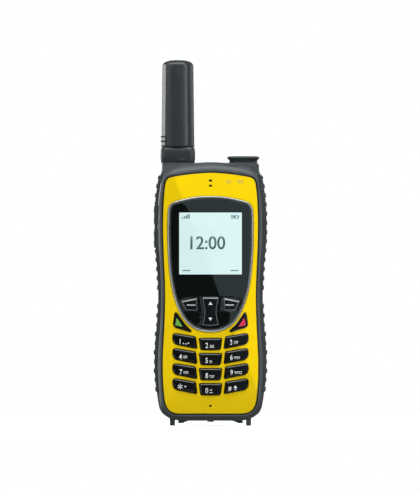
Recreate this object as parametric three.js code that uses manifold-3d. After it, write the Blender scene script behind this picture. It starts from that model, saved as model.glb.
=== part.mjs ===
// Rugged satellite handset with a telescoping, tilting antenna.
// Frame: millimetres, +Z up along the handset, front face towards -Y, origin at the
// bottom centre of the bounding box (the feet stand on z = 0).
import * as THREE from "three";
import { mergeVertices } from "three/addons/utils/BufferGeometryUtils.js";
import Module from "manifold-3d";

const wasm = await Module();
wasm.setup();

// ---------------------------------------------------------------- driving dimensions
const KEY_FRONT = -13.5; // front of the key caps, the frontmost plane
const BACK = 13.5; // rear face
const RIM_FRONT = -12.9; // raised rim round the faceplate
const PLATE_FRONT = -12.6;
const PLATE_BACK = -11.1;
const SPLIT = -5.0; // parting plane of the two housings
const FLOOR_Y = 0.5; // floor of the antenna bay
const BAY_X = -7.6; // inner wall of the antenna bay
const BAY_Z = 80.0; // bottom ledge of the antenna bay
const ANT_X = -17.2; // antenna axis
const ANT_Y = 7.1;
const PIVOT_Z = 141.5; // antenna tilt axis
const ANT_TRAVEL = 46; // how far the antenna stows
const SOS_X = 17.3; // emergency button axis
const SOS_Y = 4.2;
const HINGE = [12.5, 139.2]; // emergency cover hinge axis, y and z
const BATTERY = { x: 23.7, z0: 8.3, z1: 77.7, y0: 3.1 };
const KEY_GAP = 0.28; // clearance round a key cap
const KEY_PITCH = 7.93;
const KEY_TRAVEL = 0.6;

// right half outlines, top centre to bottom centre: [x, z]
const SILHOUETTE = [
  [0, 138.4], [8, 138.4], [16, 138.4], [22, 138.4], [24.7, 138.3], [25.45, 137.6],
  [25.55, 134.6], [26.0, 133.1], [26.9, 131.4], [27.5, 129.3], [27.95, 126.2], [28.4, 123],
  [28.85, 119.5], [29.1, 116], [29.3, 111.5], [29.45, 105], [29.4, 99], [29.15, 95.2],
  [28.7, 90.2], [28.2, 85.1], [27.85, 80], [27.65, 75.5], [27.55, 70], [27.57, 65],
  [27.75, 60], [28.05, 55], [28.4, 50.4], [28.85, 45.6], [29.15, 41.2], [29.3, 36.5],
  [29.3, 31], [29.1, 25.8], [28.65, 20.5], [28.1, 16], [27.5, 12.1], [26.8, 9],
  [25.8, 7.1], [24.3, 5.5], [22.25, 4.15], [19.6, 3.1], [16.5, 2.6], [13, 2.5], [0, 2.5],
];
const FRONT_OUTER = [
  [0, 138.3], [8, 138.1], [15.5, 137.4], [20.4, 136.0], [23.4, 133.9], [25.1, 131],
  [25.9, 127.6], [26.6, 123.2], [27.2, 118], [27.6, 112], [27.75, 105], [27.7, 98],
  [27.3, 91.5], [26.8, 86], [26.4, 80.5], [26.15, 75], [26.05, 69], [26.1, 63],
  [26.35, 57], [26.75, 51], [27.2, 45.5], [27.6, 40], [27.8, 34], [27.75, 28.5],
  [27.5, 23.5], [27.15, 18.5], [26.9, 14.5], [26.5, 10.6], [25.6, 7.4], [24.2, 5.6],
  [22.2, 4.25], [19.6, 3.2], [16.5, 2.75], [13, 2.65], [0, 2.65],
];
const PLATE = [
  [0, 133.1], [5.5, 132.85], [10.2, 132.4], [14.8, 131.8], [18.6, 131.2], [21.2, 130.6],
  [22.8, 129.6], [23.6, 127.9], [24.0, 125.2], [24.5, 120.3], [24.85, 113.5], [25.0, 105],
  [24.85, 96.5], [24.55, 88], [24.2, 80], [23.95, 73], [23.9, 66], [24.05, 59],
  [24.35, 51.5], [24.75, 43.5], [25.1, 36], [25.15, 29], [24.95, 23], [24.55, 17.5],
  [24.05, 13.2], [23.2, 10.3], [21.8, 8.2], [19.8, 6.95], [17.2, 6.4], [13.5, 6.35], [0, 6.35],
];
const BEZEL = [
  [0, 120.8], [5, 120.65], [9.5, 120.15], [13.5, 119.35], [17.2, 118.4], [19.9, 117.4],
  [21.5, 115.9], [22.3, 113.5], [22.55, 108], [22.6, 101], [22.5, 94.5], [22.2, 88],
  [21.7, 81.5], [20.9, 75.5], [19.8, 70], [18.3, 64.8], [16.2, 59.8], [13.4, 55.2],
  [10, 52.1], [6.5, 50.3], [3.2, 49.45], [0, 49.2],
];

// ---------------------------------------------------------------- outline helpers
// Polygons are arrays of [u, v], turned anticlockwise.
const area = (p) =>
  p.reduce((s, a, i) => {
    const b = p[(i + 1) % p.length];
    return s + a[0] * b[1] - b[0] * a[1];
  }, 0) / 2;
const ccw = (p) => (area(p) < 0 ? [...p].reverse() : p);
const mirrorX = (p) => ccw(p.map(([x, z]) => [-x, z]));

// a smooth closed outline through the right half and its mirror image, n points a side
function outline(half, n) {
  const curve = new THREE.CatmullRomCurve3(
    half.map(([x, z]) => new THREE.Vector3(x, z, 0)), false, "centripetal");
  curve.arcLengthDivisions = 1600;
  const right = curve.getSpacedPoints(n).map((v) => [v.x, v.y]);
  right[0][0] = 0;
  right[n][0] = 0;
  const left = right.slice(1, -1).reverse().map(([x, z]) => [-x, z]);
  return ccw([...right, ...left]);
}
// an outline scaled about [cu, cv]
const scaled = (poly, k, cu, cv) => poly.map(([u, v]) => [cu + k * (u - cu), cv + k * (v - cv)]);
// the shell outline drawn in by d on every side
const drawnIn = (poly, d) => poly.map(([x, z]) => [x * (1 - d / 29.4), 70.4 + (z - 70.4) * (1 - d / 68)]);
// moves every edge of an outline outwards by d
function offset(poly, d) {
  const n = poly.length;
  return poly.map((p, i) => {
    const a = poly[(i + n - 1) % n], b = poly[(i + 1) % n];
    let n1 = [p[1] - a[1], a[0] - p[0]], n2 = [b[1] - p[1], p[0] - b[0]];
    const l1 = Math.hypot(...n1) || 1, l2 = Math.hypot(...n2) || 1;
    n1 = n1.map((v) => v / l1);
    n2 = n2.map((v) => v / l2);
    const m = [n1[0] + n2[0], n1[1] + n2[1]], l = Math.hypot(...m) || 1;
    const c = Math.max(0.4, l / 2);
    return [p[0] + (m[0] / l) * (d / c), p[1] + (m[1] / l) * (d / c)];
  });
}
// a polygon with rounded corners: corners are [u, v, cut] and cut is how far the round reaches
function rounded(corners, seg = 3) {
  const out = [], n = corners.length;
  corners.forEach(([x, y, cut], i) => {
    const a = corners[(i + n - 1) % n], b = corners[(i + 1) % n];
    if (!cut) return out.push([x, y]);
    const la = Math.hypot(a[0] - x, a[1] - y), lb = Math.hypot(b[0] - x, b[1] - y);
    const s = new THREE.QuadraticBezierCurve(
      new THREE.Vector2(x + ((a[0] - x) / la) * cut, y + ((a[1] - y) / la) * cut),
      new THREE.Vector2(x, y),
      new THREE.Vector2(x + ((b[0] - x) / lb) * cut, y + ((b[1] - y) / lb) * cut));
    s.getPoints(seg).forEach((v) => out.push([v.x, v.y]));
  });
  return ccw(out);
}
const rect = (u0, u1, v0, v1, r = 0, seg = 3) =>
  r ? rounded([[u0, v0, r], [u1, v0, r], [u1, v1, r], [u0, v1, r]], seg)
    : [[u0, v0], [u1, v0], [u1, v1], [u0, v1]];
const circle = (u, v, r, n = 16) =>
  Array.from({ length: n }, (_, i) => [
    u + r * Math.cos((2 * Math.PI * (i + 0.5)) / n), v + r * Math.sin((2 * Math.PI * (i + 0.5)) / n)]);

// ---------------------------------------------------------------- solid helpers
function manifold(positions, index) {
  let g = new THREE.BufferGeometry().setAttribute(
    "position", new THREE.BufferAttribute(Float32Array.from(positions), 3));
  if (index) g.setIndex(Array.from(index));
  g = mergeVertices(g.index ? g.toNonIndexed() : g, 1e-4);
  const tri = [];
  const ix = g.index.array;
  for (let i = 0; i < ix.length; i += 3)
    if (ix[i] !== ix[i + 1] && ix[i + 1] !== ix[i + 2] && ix[i] !== ix[i + 2])
      tri.push(ix[i], ix[i + 1], ix[i + 2]);
  const make = (t) =>
    new wasm.Manifold(new wasm.Mesh({
      numProp: 3, vertProperties: g.attributes.position.array, triVerts: Uint32Array.from(t) }));
  const m = make(tri);
  if (m.volume() > 0) return m;
  for (let i = 0; i < tri.length; i += 3) [tri[i + 1], tri[i + 2]] = [tri[i + 2], tri[i + 1]];
  return make(tri);
}
function solid(geometry) {
  const g = geometry.index ? geometry.toNonIndexed() : geometry.clone();
  return manifold(g.attributes.position.array);
}
// skins a stack of equal-length outlines; place maps (u, v, w) to a point
function loft(rings, place) {
  const n = rings[0].pts.length, pos = [], idx = [];
  rings.forEach(({ pts, w }) => pts.forEach(([u, v]) => pos.push(...place(u, v, w))));
  for (let r = 0; r + 1 < rings.length; r++)
    for (let i = 0; i < n; i++) {
      const a = r * n + i, b = r * n + ((i + 1) % n), c = b + n, d = a + n;
      idx.push(a, b, c, a, c, d);
    }
  // each end is closed with a fan about its middle
  const cap = (r, flip) => {
    const { pts, w } = rings[r], m = pos.length / 3, A = area(pts);
    let cu = 0, cv = 0;
    pts.forEach((a, i) => {
      const b = pts[(i + 1) % n], k = a[0] * b[1] - b[0] * a[1];
      cu += (a[0] + b[0]) * k;
      cv += (a[1] + b[1]) * k;
    });
    pos.push(...place(cu / (6 * A), cv / (6 * A), w));
    for (let i = 0; i < n; i++) {
      const a = r * n + i, b = r * n + ((i + 1) % n);
      if (flip) idx.push(a, m, b);
      else idx.push(b, m, a);
    }
  };
  cap(0, true);
  cap(rings.length - 1, false);
  return manifold(pos, idx);
}
const alongY = (u, v, w) => [u, w, v];
const alongZ = (u, v, w) => [u, v, w];
const alongX = (u, v, w) => [w, u, v];
// straight prisms of a polygon, from three.js extrusions
function prism(points, w0, w1, place = alongY) {
  const poly = points.filter((p, i) => {
    const a = points[(i + points.length - 1) % points.length], b = points[(i + 1) % points.length];
    return Math.abs((p[0] - a[0]) * (b[1] - p[1]) - (p[1] - a[1]) * (b[0] - p[0])) > 1e-6;
  });
  const shape = new THREE.Shape(poly.map(([u, v]) => new THREE.Vector2(u, v)));
  const g = new THREE.ExtrudeGeometry(shape, { depth: w1 - w0, bevelEnabled: false, curveSegments: 1 });
  const p = g.attributes.position;
  for (let i = 0; i < p.count; i++)
    p.setXYZ(i, ...place(p.getX(i), p.getY(i), p.getZ(i) + w0));
  return solid(g);
}
// a cap with its front edge broken: outline at y1 and back from the front, inset at y0
const capY = (poly, y0, y1, inset, drop) =>
  loft([{ pts: offset(poly, -inset), w: y0 }, { pts: poly, w: y0 + drop }, { pts: poly, w: y1 }], alongY);
function box(x0, x1, y0, y1, z0, z1) {
  return solid(new THREE.BoxGeometry(x1 - x0, y1 - y0, z1 - z0)
    .translate((x0 + x1) / 2, (y0 + y1) / 2, (z0 + z1) / 2));
}
function cylinder(r, from, to, n = 16, r2 = r) {
  const a = new THREE.Vector3(...from), b = new THREE.Vector3(...to), d = b.clone().sub(a);
  const g = new THREE.CylinderGeometry(r2, r, d.length(), n);
  g.applyQuaternion(new THREE.Quaternion().setFromUnitVectors(
    new THREE.Vector3(0, 1, 0), d.clone().normalize()));
  const c = a.clone().add(b).multiplyScalar(0.5);
  return solid(g.translate(c.x, c.y, c.z));
}

// ---------------------------------------------------------------- scene graph
const root = new THREE.Group();
const MATERIALS = {
  housing_grey: [0x4a5053, 0.55, 0], grip_rubber: [0x2c3032, 0.8, 0],
  plate_yellow: [0xf2c800, 0.3, 0], trim_silver: [0xb9bdc2, 0.25, 1],
  lens_black: [0x07090a, 0.08, 0], lcd_pale: [0xd9efee, 0.3, 0],
  key_black: [0x060708, 0.3, 0], antenna_grey: [0x363b3e, 0.45, 0],
  board_green: [0x14532d, 0.5, 0], shield_steel: [0xa9adb0, 0.35, 1],
  silicone_grey: [0x9a9d9f, 0.7, 0], contact_gold: [0xc9a227, 0.3, 1],
  battery_black: [0x1d1f21, 0.6, 0], cell_wrap: [0x35506e, 0.5, 0],
  sos_red: [0xc4161c, 0.4, 0], steel: [0xb4b7ba, 0.3, 1], patch_ceramic: [0xd8cdb4, 0.6, 0],
  seal_black: [0x111213, 0.85, 0],
};
const cache = {};
const material = (slot) =>
  (cache[slot] ??= new THREE.MeshStandardMaterial({
    name: slot, color: MATERIALS[slot][0], roughness: MATERIALS[slot][1], metalness: MATERIALS[slot][2] }));
function add(name, m, slot) {
  const got = m.getMesh(), n = got.numProp, v = new Float32Array(got.numVert * 3);
  for (let i = 0; i < got.numVert; i++) v.set(got.vertProperties.subarray(i * n, i * n + 3), i * 3);
  const g = new THREE.BufferGeometry().setAttribute("position", new THREE.BufferAttribute(v, 3))
    .setIndex(new THREE.BufferAttribute(Uint32Array.from(got.triVerts), 1));
  g.computeVertexNormals();
  const mesh = new THREE.Mesh(g, material(slot));
  mesh.name = name;
  root.add(mesh);
  return m;
}

// ---------------------------------------------------------------- key outlines, [x, z, cut]
const keySide = (row) => {
  const z = -row * KEY_PITCH;
  return rounded([
    [-19.8, 48.75 + z, 2.1], [-19.8, 43.1 + z, 2.9], [-7.15, 40.6 + z, 0.7], [-7.95, 46.75 + z, 0.8],
  ]);
};
const keyMiddle = (row) => {
  const z = -row * KEY_PITCH;
  return rounded([
    [-5.9, 45.9 + z, 0.7], [-5.1, 40.05 + z, 0.8], [0, 39.9 + z, 0], [5.1, 40.05 + z, 0.8], [5.9, 45.9 + z, 0.7],
  ]);
};
const CALL = rounded([
  [-18.5, 60.2, 1.8], [-19.7, 52.2, 2.0], [-9.3, 49.0, 2.4], [-13.6, 53.2, 0],
]);
const SOFT = rounded([
  [-15.6, 65.85, 0.6], [-13.1, 60.4, 0.9], [-6.6, 60.4, 0.8], [-7.0, 67.5, 0.5],
]);
const NAV = rounded([
  [-4.5, 67.8, 0.6], [-3.9, 63.5, 0.8], [-3.3, 60.4, 1.2], [-3.75, 56.9, 0.8], [-4.7, 52.9, 0.8],
  [0, 52.1, 2.0], [4.7, 52.9, 0.8], [3.75, 56.9, 0.8], [3.3, 60.4, 1.2], [3.9, 63.5, 0.8], [4.5, 67.8, 0.6],
]);
const KEYS = {};
["key_1", "key_4", "key_7", "key_star"].forEach((k, i) => (KEYS[k] = keySide(i)));
["key_2", "key_5", "key_8", "key_0"].forEach((k, i) => (KEYS[k] = keyMiddle(i)));
["key_3", "key_6", "key_9", "key_hash"].forEach((k, i) => (KEYS[k] = mirrorX(keySide(i))));
KEYS.call_key = CALL;
KEYS.end_key = mirrorX(CALL);
const LENS_KEYS = { softkey_left: SOFT, softkey_right: mirrorX(SOFT), nav_key: NAV };

// ---------------------------------------------------------------- front
const N = 44;
const silhouette = outline(SILHOUETTE, N);
const frontOuter = outline(FRONT_OUTER, N);
const plate = outline(PLATE, 36);
const rim = offset(outline(PLATE, N), 1.6);
const bezel = outline(BEZEL, 24);

// the four cells round the housing rim take screws from behind
const SCREWS = [[-20.2, 14.5], [20.2, 14.5], [-19.6, 72.0], [19.6, 72.0]];

let front = loft([
  { pts: rim, w: RIM_FRONT },
  { pts: rim.map((p, i) => [0.62 * p[0] + 0.38 * frontOuter[i][0], 0.62 * p[1] + 0.38 * frontOuter[i][1]]), w: -11.9 },
  { pts: frontOuter.map((p, i) => [0.8 * p[0] + 0.2 * rim[i][0], 0.8 * p[1] + 0.2 * rim[i][1]]), w: -9.6 },
  { pts: frontOuter, w: SPLIT - 0.2 },
], alongY);
front = front.subtract(prism(offset(plate, 0.15), RIM_FRONT - 1, PLATE_BACK + 0.1))
  .subtract(prism(offset(plate, -2.1), PLATE_BACK - 1, SPLIT + 1));
for (const [x, z] of SCREWS)
  front = front.add(cylinder(2.5, [x, -10.3, z], [x, SPLIT - 0.2, z], 16).add(
    box(Math.min(x, x + Math.sign(x) * 2.9), Math.max(x, x + Math.sign(x) * 2.9), -10.3, SPLIT - 0.2, z - 1, z + 1)))
    .subtract(cylinder(1.3, [x, -9.4, z], [x, 0, z], 12));
add("front_housing", front, "housing_grey");

let face = capY(plate, PLATE_FRONT, PLATE_BACK, 0.35, 0.35);
face = face.subtract(prism(offset(bezel, 0.12), PLATE_FRONT - 1, PLATE_BACK + 1));
for (const k in KEYS) face = face.subtract(prism(offset(KEYS[k], KEY_GAP), PLATE_FRONT - 1, PLATE_BACK + 1));
for (const [x, z] of [[0, 129], [0, 126.3], [0, 10.4]])
  face = face.subtract(prism(circle(x, z, 0.72, 10), PLATE_FRONT - 1, PLATE_BACK + 1));
add("faceplate", face, "plate_yellow");

const lensEdge = offset(bezel, -1.55);
add("lens_bezel", capY(bezel, -13.2, PLATE_BACK - 0.2, 0.45, 0.6).subtract(prism(lensEdge, -14, -10)), "trim_silver");
let lens = capY(offset(bezel, -1.65), -12.9, PLATE_BACK - 0.2, 0.25, 0.25);
for (const k in LENS_KEYS) lens = lens.subtract(prism(offset(LENS_KEYS[k], 0.22), -14, -10));
add("display_lens", lens, "lens_black");
add("lcd_panel", box(-17.8, 17.8, -11.1, -9.7, 77.4, 113.4), "lcd_pale");
add("lcd_backlight", box(-18.6, 18.6, -9.6, -8.5, 75.0, 114.6), "silicone_grey");

for (const k in KEYS) add(k, capY(KEYS[k], KEY_FRONT, -10.5, 0.38, 0.38), "key_black");
for (const k in LENS_KEYS)
  add(k, capY(LENS_KEYS[k], k === "nav_key" ? -13.45 : -13.35, -10.5, 0.3, 0.3), "key_black");

// silicone mat, metal domes and the board behind the keys
const bossClear = (m) => {
  for (const [x, z] of SCREWS) {
    const e = x + Math.sign(x) * 6;
    m = m.subtract(cylinder(2.9, [x, -12, z], [x, -3, z], 14)).subtract(box(Math.min(x, e), Math.max(x, e), -12, -3, z - 2.9, z + 2.9));
  }
  return m;
};
add("keypad_mat", bossClear(prism(rect(-21.2, 21.2, 13.2, 69.0, 3), -9.8, -8.9)), "silicone_grey");
add("dome_sheet", bossClear(prism(rect(-20.4, 20.4, 14.0, 68.6, 2), -8.8, -8.52)), "steel");
const board = prism(rounded([[-22.0, 11.4, 4], [22.0, 11.4, 4], [21.4, 70, 3], [21.6, 126.6, 5], [-21.6, 126.6, 5], [-21.4, 70, 3]]), -8.4, -7.2);
add("main_board", bossClear(board), "board_green");
add("rf_shield", box(-18, 18, -7.1, -5.4, 84, 122), "shield_steel");
add("baseband_shield", box(-17, 17, -7.1, -5.4, 26, 66), "shield_steel");
add("earpiece", cylinder(5.4, [0, -11.0, 127.2], [0, -8.5, 127.2], 20).intersect(box(-8, 8, -12, -8, 115.2, 130.4)), "steel");
add("microphone", cylinder(1.8, [0, -10.9, 10.5], [0, -8.6, 10.5], 14), "steel");

// ---------------------------------------------------------------- rear housing
const gripZone = (d) => {
  const r = outline(SILHOUETTE, 120).filter(([x, z]) => x > 0 && z > 17 - d && z < 133 + d);
  r.sort((a, b) => a[1] - b[1]);
  return r;
};
// half width of the shell at height z
const gripEdge = gripZone(0);
function sideAt(z) {
  let i = gripEdge.findIndex((p) => p[1] >= z);
  if (i <= 0) i = i < 0 ? gripEdge.length - 1 : 1;
  const [a, b] = [gripEdge[i - 1], gripEdge[i]], t = (z - a[1]) / (b[1] - a[1]);
  return a[0] + t * (b[0] - a[0]);
}
const GRIP_Z = [17.2, 131.9], INNER_STEPS = 20;
const innerLine = (depth, over) =>
  Array.from({ length: INNER_STEPS + 1 }, (_, i) => {
    const z = GRIP_Z[0] + ((GRIP_Z[1] - GRIP_Z[0]) * i) / INNER_STEPS;
    return [sideAt(z) - depth, i === 0 ? z - over : i === INNER_STEPS ? z + over : z];
  });
// side grip section: smooth inside, a rib every 4.8 mm outside
const gripRight = (() => {
  const out = [[sideAt(GRIP_Z[0]) - 0.5, GRIP_Z[0]]];
  for (let i = 0; i < 24; i++) {
    const z = 19.1 + i * 4.84;
    if (i === 10) continue;
    out.push([sideAt(z - 1.2), z - 1.2], [sideAt(z - 0.55) + 0.5, z - 0.55], [sideAt(z + 0.55) + 0.5, z + 0.55], [sideAt(z + 1.2), z + 1.2]);
  }
  out.push([sideAt(GRIP_Z[1]) - 0.5, GRIP_Z[1]]);
  return ccw([...out, ...innerLine(1.6, 0).reverse()]);
})();
const gripLeft = mirrorX(gripRight);
const gripRecess = (side) => {
  const poly = ccw([...innerLine(1.8, 0.25), [34, GRIP_Z[1] + 0.25], [34, GRIP_Z[0] - 0.25]]);
  return prism(side < 0 ? mirrorX(poly) : poly, SPLIT - 1, 9.2);
};

let rear = loft([
  { pts: silhouette, w: SPLIT }, { pts: silhouette, w: 9.6 },
  { pts: drawnIn(silhouette, 0.9), w: 11.8 }, { pts: drawnIn(silhouette, 2.4), w: 13.1 }, { pts: drawnIn(silhouette, 3.4), w: BACK },
], alongY);
// feet rails, skirts and the bottom profile of the shell
const FOOT = rounded([[18.75, 6, 0], [18.75, 0, 0.35], [21.35, 0, 0.35], [21.7, 6, 0]], 2);
const SKIRT = [[11.3, 4], [11.6, 2.5], [14.6, 1.25], [17.05, 1.15], [17.05, 4]];
for (const f of [FOOT, mirrorX(FOOT)]) rear = rear.add(prism(f, -4.4, 11.4));
for (const f of [SKIRT, mirrorX(SKIRT)]) rear = rear.add(prism(ccw(f), -3.6, 10.6));
// antenna bay: an open corner notch behind the left side
rear = rear.subtract(box(-40, BAY_X, FLOOR_Y, 30, BAY_Z, 160));
// grip recesses
rear = rear.subtract(gripRecess(1)).subtract(gripRecess(-1));
// inside: board space, upper right compartment
const inner = drawnIn(silhouette, 3.4);
const lowHalf = prism(inner, SPLIT - 1, 1.3).intersect(box(-40, 40, -20, 20, 5.7, 78.4));
const upHalf = prism(inner, SPLIT - 1, -2.9).intersect(box(-40, 40, -20, 20, 78, 133.6));
const upRight = box(-5.9, 24.3, SPLIT - 1, 10.8, 81.6, 131.4);
rear = rear.subtract(lowHalf).subtract(upHalf).subtract(upRight);
// battery bay
rear = rear.subtract(prism(rect(-BATTERY.x - 0.3, BATTERY.x + 0.3, BATTERY.z0 - 0.3, BATTERY.z1 + 0.3, 2.2), BATTERY.y0 - 0.3, 20));
// T-slot for the antenna carriage in the bay floor
rear = rear.subtract(box(ANT_X - 1.5, ANT_X + 1.5, -0.9, FLOOR_Y + 1, BAY_Z + 0.2, 160))
  .subtract(box(ANT_X - 2.6, ANT_X + 2.6, -1.7, -0.4, BAY_Z + 0.2, 160));
// emergency button well, hinge slot, power button hole
rear = rear.subtract(cylinder(4.6, [SOS_X, SOS_Y, 131], [SOS_X, SOS_Y, 141], 20))
  .subtract(prism(rect(-3.6, 3.6, 1.2, 6.6, 1.6), 128, 142, alongZ));
for (const x of [12.2, 21.0])
  rear = rear.add(prism(rounded([[HINGE[0] - 1.0, 135.6, 0], [HINGE[0] + 0.6, 135.0, 0], [HINGE[0] + 0.9, HINGE[1] + 1, 0.9], [HINGE[0] - 0.9, HINGE[1] + 1, 0.9]], 2), x, x + 1.4, alongX));
rear = rear.subtract(cylinder(0.72, [10, ...HINGE], [24, ...HINGE], 10));
// bottom port, volume key slots, latch recess, speaker grille, screw holes
rear = rear.subtract(prism(rect(-11.4, 11.4, -2.6, 8.0), 1, 6.9, alongZ));
rear = rear.subtract(box(-11.4, 11.4, 6.0, 8.9, 1, 4.0));
for (const [z0, z1] of [[93.4, 103.9], [105.5, 116.0]])
  rear = rear.subtract(prism(rect(-3.6, -0.8 + 0.1, z0, z1, 0.9, 2), -32, -20, alongX));
rear = rear.subtract(prism(rect(3.6, 17.4, 79.6, 90.2, 0.8, 2), 11.9, 20));
for (let i = 0; i < 3; i++)
  for (let j = 0; j < 5; j++)
    rear = rear.subtract(prism(rect(4.0 + j * 3.0, 5.3 + j * 3.0, 104 + i * 4.2, 107 + i * 4.2), 10, 15));
for (const [x, z] of SCREWS)
  rear = rear.add(cylinder(3.1, [x, SPLIT + 0.1, z], [x, BATTERY.y0 - 0.3, z], 16))
    .subtract(cylinder(1.35, [x, -6, z], [x, 4, z], 12))
    .subtract(cylinder(2.4, [x, 0.9, z], [x, 4, z], 16));
add("rear_housing", rear, "housing_grey");

// flat seal in the joint of the two housings
add("housing_seal", prism(drawnIn(silhouette, 3.7).map(([x, z]) => [x, Math.min(z, 134.4)]), SPLIT - 0.16, SPLIT - 0.03)
  .subtract(prism(drawnIn(silhouette, 4.8).map(([x, z]) => [x, Math.min(z, 133.4)]), SPLIT - 1, SPLIT + 1)), "seal_black");

let left = prism(gripLeft, SPLIT + 0.1, 9.0);
left = left.subtract(box(-40, BAY_X, FLOOR_Y, 30, BAY_Z - 0.3, 160));
for (const [z0, z1] of [[93.4, 103.9], [105.5, 116.0]])
  left = left.subtract(prism(rect(-3.6, -0.8 + 0.1, z0, z1, 0.9, 2), -32, -20, alongX));
add("side_grip_left", left, "grip_rubber");
add("side_grip_right", prism(gripRight, SPLIT + 0.1, 9.0), "grip_rubber");
for (const [name, z0, z1] of [["volume_down", 93.65, 103.65], ["volume_up", 105.75, 115.75]]) {
  const ring = rect(-3.35, -0.95, z0, z1, 0.8, 2);
  add(name, loft([{ pts: offset(ring, -0.35), w: -29.9 }, { pts: ring, w: -29.4 }, { pts: ring, w: -25.0 }], alongX), "grip_rubber");
}

// screws that join the housings, driven from the battery bay
SCREWS.forEach(([x, z], i) => {
  const g = new THREE.LatheGeometry([[0, -9.2], [1.0, -8.6], [1.0, 1.05], [2.1, 1.05], [2.1, 2.1], [1.8, 2.4], [0.9, 2.4], [0.9, 1.5], [0, 1.5]]
    .map(([r, h]) => new THREE.Vector2(r, h)), 14).translate(x, 0, z);
  add(`housing_screw_${i + 1}`, solid(g), "steel");
});

// ---------------------------------------------------------------- antenna
const CHAMFER = (w, d) => {
  const a = w / 2, b = d / 2;
  return rounded([
    [ANT_X - a, ANT_Y - b + 3.4, 0.7], [ANT_X - a + 1.9, ANT_Y - b + 0.35, 0.7], [ANT_X, ANT_Y - b, 0],
    [ANT_X + a - 1.9, ANT_Y - b + 0.35, 0.7], [ANT_X + a, ANT_Y - b + 3.4, 0.7],
    [ANT_X + a, ANT_Y + b - 3.4, 2.6], [ANT_X + a - 3.4, ANT_Y + b, 2.6], [ANT_X - a + 3.4, ANT_Y + b, 2.6], [ANT_X - a, ANT_Y + b - 3.4, 2.6],
  ], 2);
};
let mast = loft([
  { pts: CHAMFER(17.3, 12.4), w: 147.4 }, { pts: CHAMFER(16.35, 11.8), w: 189.4 },
  { pts: scaled(CHAMFER(16.35, 11.8), 0.97, ANT_X, ANT_Y), w: 190.3 },
  { pts: scaled(CHAMFER(16.35, 11.8), 0.89, ANT_X, ANT_Y), w: 191.2 },
  { pts: scaled(CHAMFER(16.35, 11.8), 0.74, ANT_X, ANT_Y), w: 192.0 },
  { pts: scaled(CHAMFER(16.35, 11.8), 0.5, ANT_X, ANT_Y), w: 192.5 },
  { pts: scaled(CHAMFER(16.35, 11.8), 0.2, ANT_X, ANT_Y), w: 192.7 },
], alongZ);
for (const z of [149.3, 151.7])
  for (const s of [-1, 1])
    mast = mast.add(box(ANT_X + s * 8.9 - 0.4, ANT_X + s * 8.9 + 0.4, ANT_Y - 2.6, ANT_Y + 2.6, z - 0.3, z + 0.3));
mast = mast.subtract(cylinder(5.0, [ANT_X, ANT_Y, 146], [ANT_X, ANT_Y, 188.6], 20));
add("antenna_mast", mast, "antenna_grey");
add("antenna_helix", cylinder(4.6, [ANT_X, ANT_Y, 147.9], [ANT_X, ANT_Y, 187.6], 16), "contact_gold");

const KN = (w, d) => rect(ANT_X - w / 2, ANT_X + w / 2, ANT_Y - d / 2, ANT_Y + d / 2, 3.2, 3);
let knuckle = loft([
  { pts: KN(15.6, 10.6), w: 137.3 }, { pts: KN(17.0, 11.8), w: 137.9 }, { pts: KN(17.7, 12.3), w: 139.0 }, { pts: KN(18.2, 12.6), w: 140.4 },
  { pts: KN(18.2, 12.6), w: 145.2 }, { pts: KN(17.4, 12.4), w: 147.1 },
], alongZ);
const slot = ccw([[3.6, -6], [3.6, 0], [2.55, 2.55], [0, 3.6], [-2.55, 2.55], [-11.1, -6]].map(([x, z]) => [ANT_X + x, PIVOT_Z + z]));
knuckle = knuckle.subtract(prism(slot, ANT_Y - 2.3, ANT_Y + 2.3))
  .subtract(cylinder(1.35, [ANT_X, 3.2, PIVOT_Z], [ANT_X, 11.0, PIVOT_Z], 12));
add("antenna_knuckle", knuckle, "antenna_grey");

let carriage = prism(rect(ANT_X - 8.9, ANT_X + 8.9, ANT_Y - 6.1, ANT_Y + 6.1, 2.0), 126.6, 132.2, alongZ);
carriage = carriage.add(box(ANT_X - 3.2, ANT_X + 3.2, ANT_Y - 1.95, ANT_Y + 1.95, 131, PIVOT_Z))
  .add(cylinder(3.2, [ANT_X, ANT_Y - 1.95, PIVOT_Z], [ANT_X, ANT_Y + 1.95, PIVOT_Z], 20))
  .add(box(ANT_X - 1.2, ANT_X + 1.2, -1.0, ANT_Y - 5, 126.6, 132.2))
  .add(box(ANT_X - 2.3, ANT_X + 2.3, -1.45, -0.65, 126.6, 132.2))
  .subtract(cylinder(1.35, [ANT_X, 3.2, PIVOT_Z], [ANT_X, 11.0, PIVOT_Z], 12));
add("antenna_carriage", carriage, "antenna_grey");
add("antenna_pivot_pin", cylinder(1.15, [ANT_X, 3.5, PIVOT_Z], [ANT_X, 10.7, PIVOT_Z], 12), "steel");
add("antenna_contact", box(-5.7, -3.65, 1.2, 5.8, 128.6, 131.0), "contact_gold");

// ---------------------------------------------------------------- top controls
const CAP = (d) => rect(SOS_X - 7.35 - d, SOS_X + 7.35 + d, SOS_Y - 6.0 - d, SOS_Y + 6.0 + d, 4.4, 4);
let cap = loft([
  { pts: CAP(0), w: 138.75 }, { pts: CAP(0.05), w: 139.3 }, { pts: CAP(1.0), w: 140.25 }, { pts: CAP(1.0), w: 140.8 },
  { pts: CAP(0.1), w: 141.6 }, { pts: CAP(-2.4), w: 141.95 },
], alongZ);
cap = cap.add(prism(rounded([[10.0, 138.9, 0], [HINGE[0] - 1.0, 138.0, 0.4], [HINGE[0] + 0.8, 137.9, 0.5], [HINGE[0] + 0.8, 140.0, 0.5], [10.6, 141.0, 0]], 2), 13.9, 20.7, alongX));
cap = cap.subtract(cylinder(5.0, [SOS_X, SOS_Y, 138], [SOS_X, SOS_Y, 140.5], 20))
  .subtract(cylinder(0.72, [13, ...HINGE], [22, ...HINGE], 10));
add("sos_cover", cap, "antenna_grey");
add("sos_hinge_pin", cylinder(0.55, [12.3, ...HINGE], [22.3, ...HINGE], 10), "steel");
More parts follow.
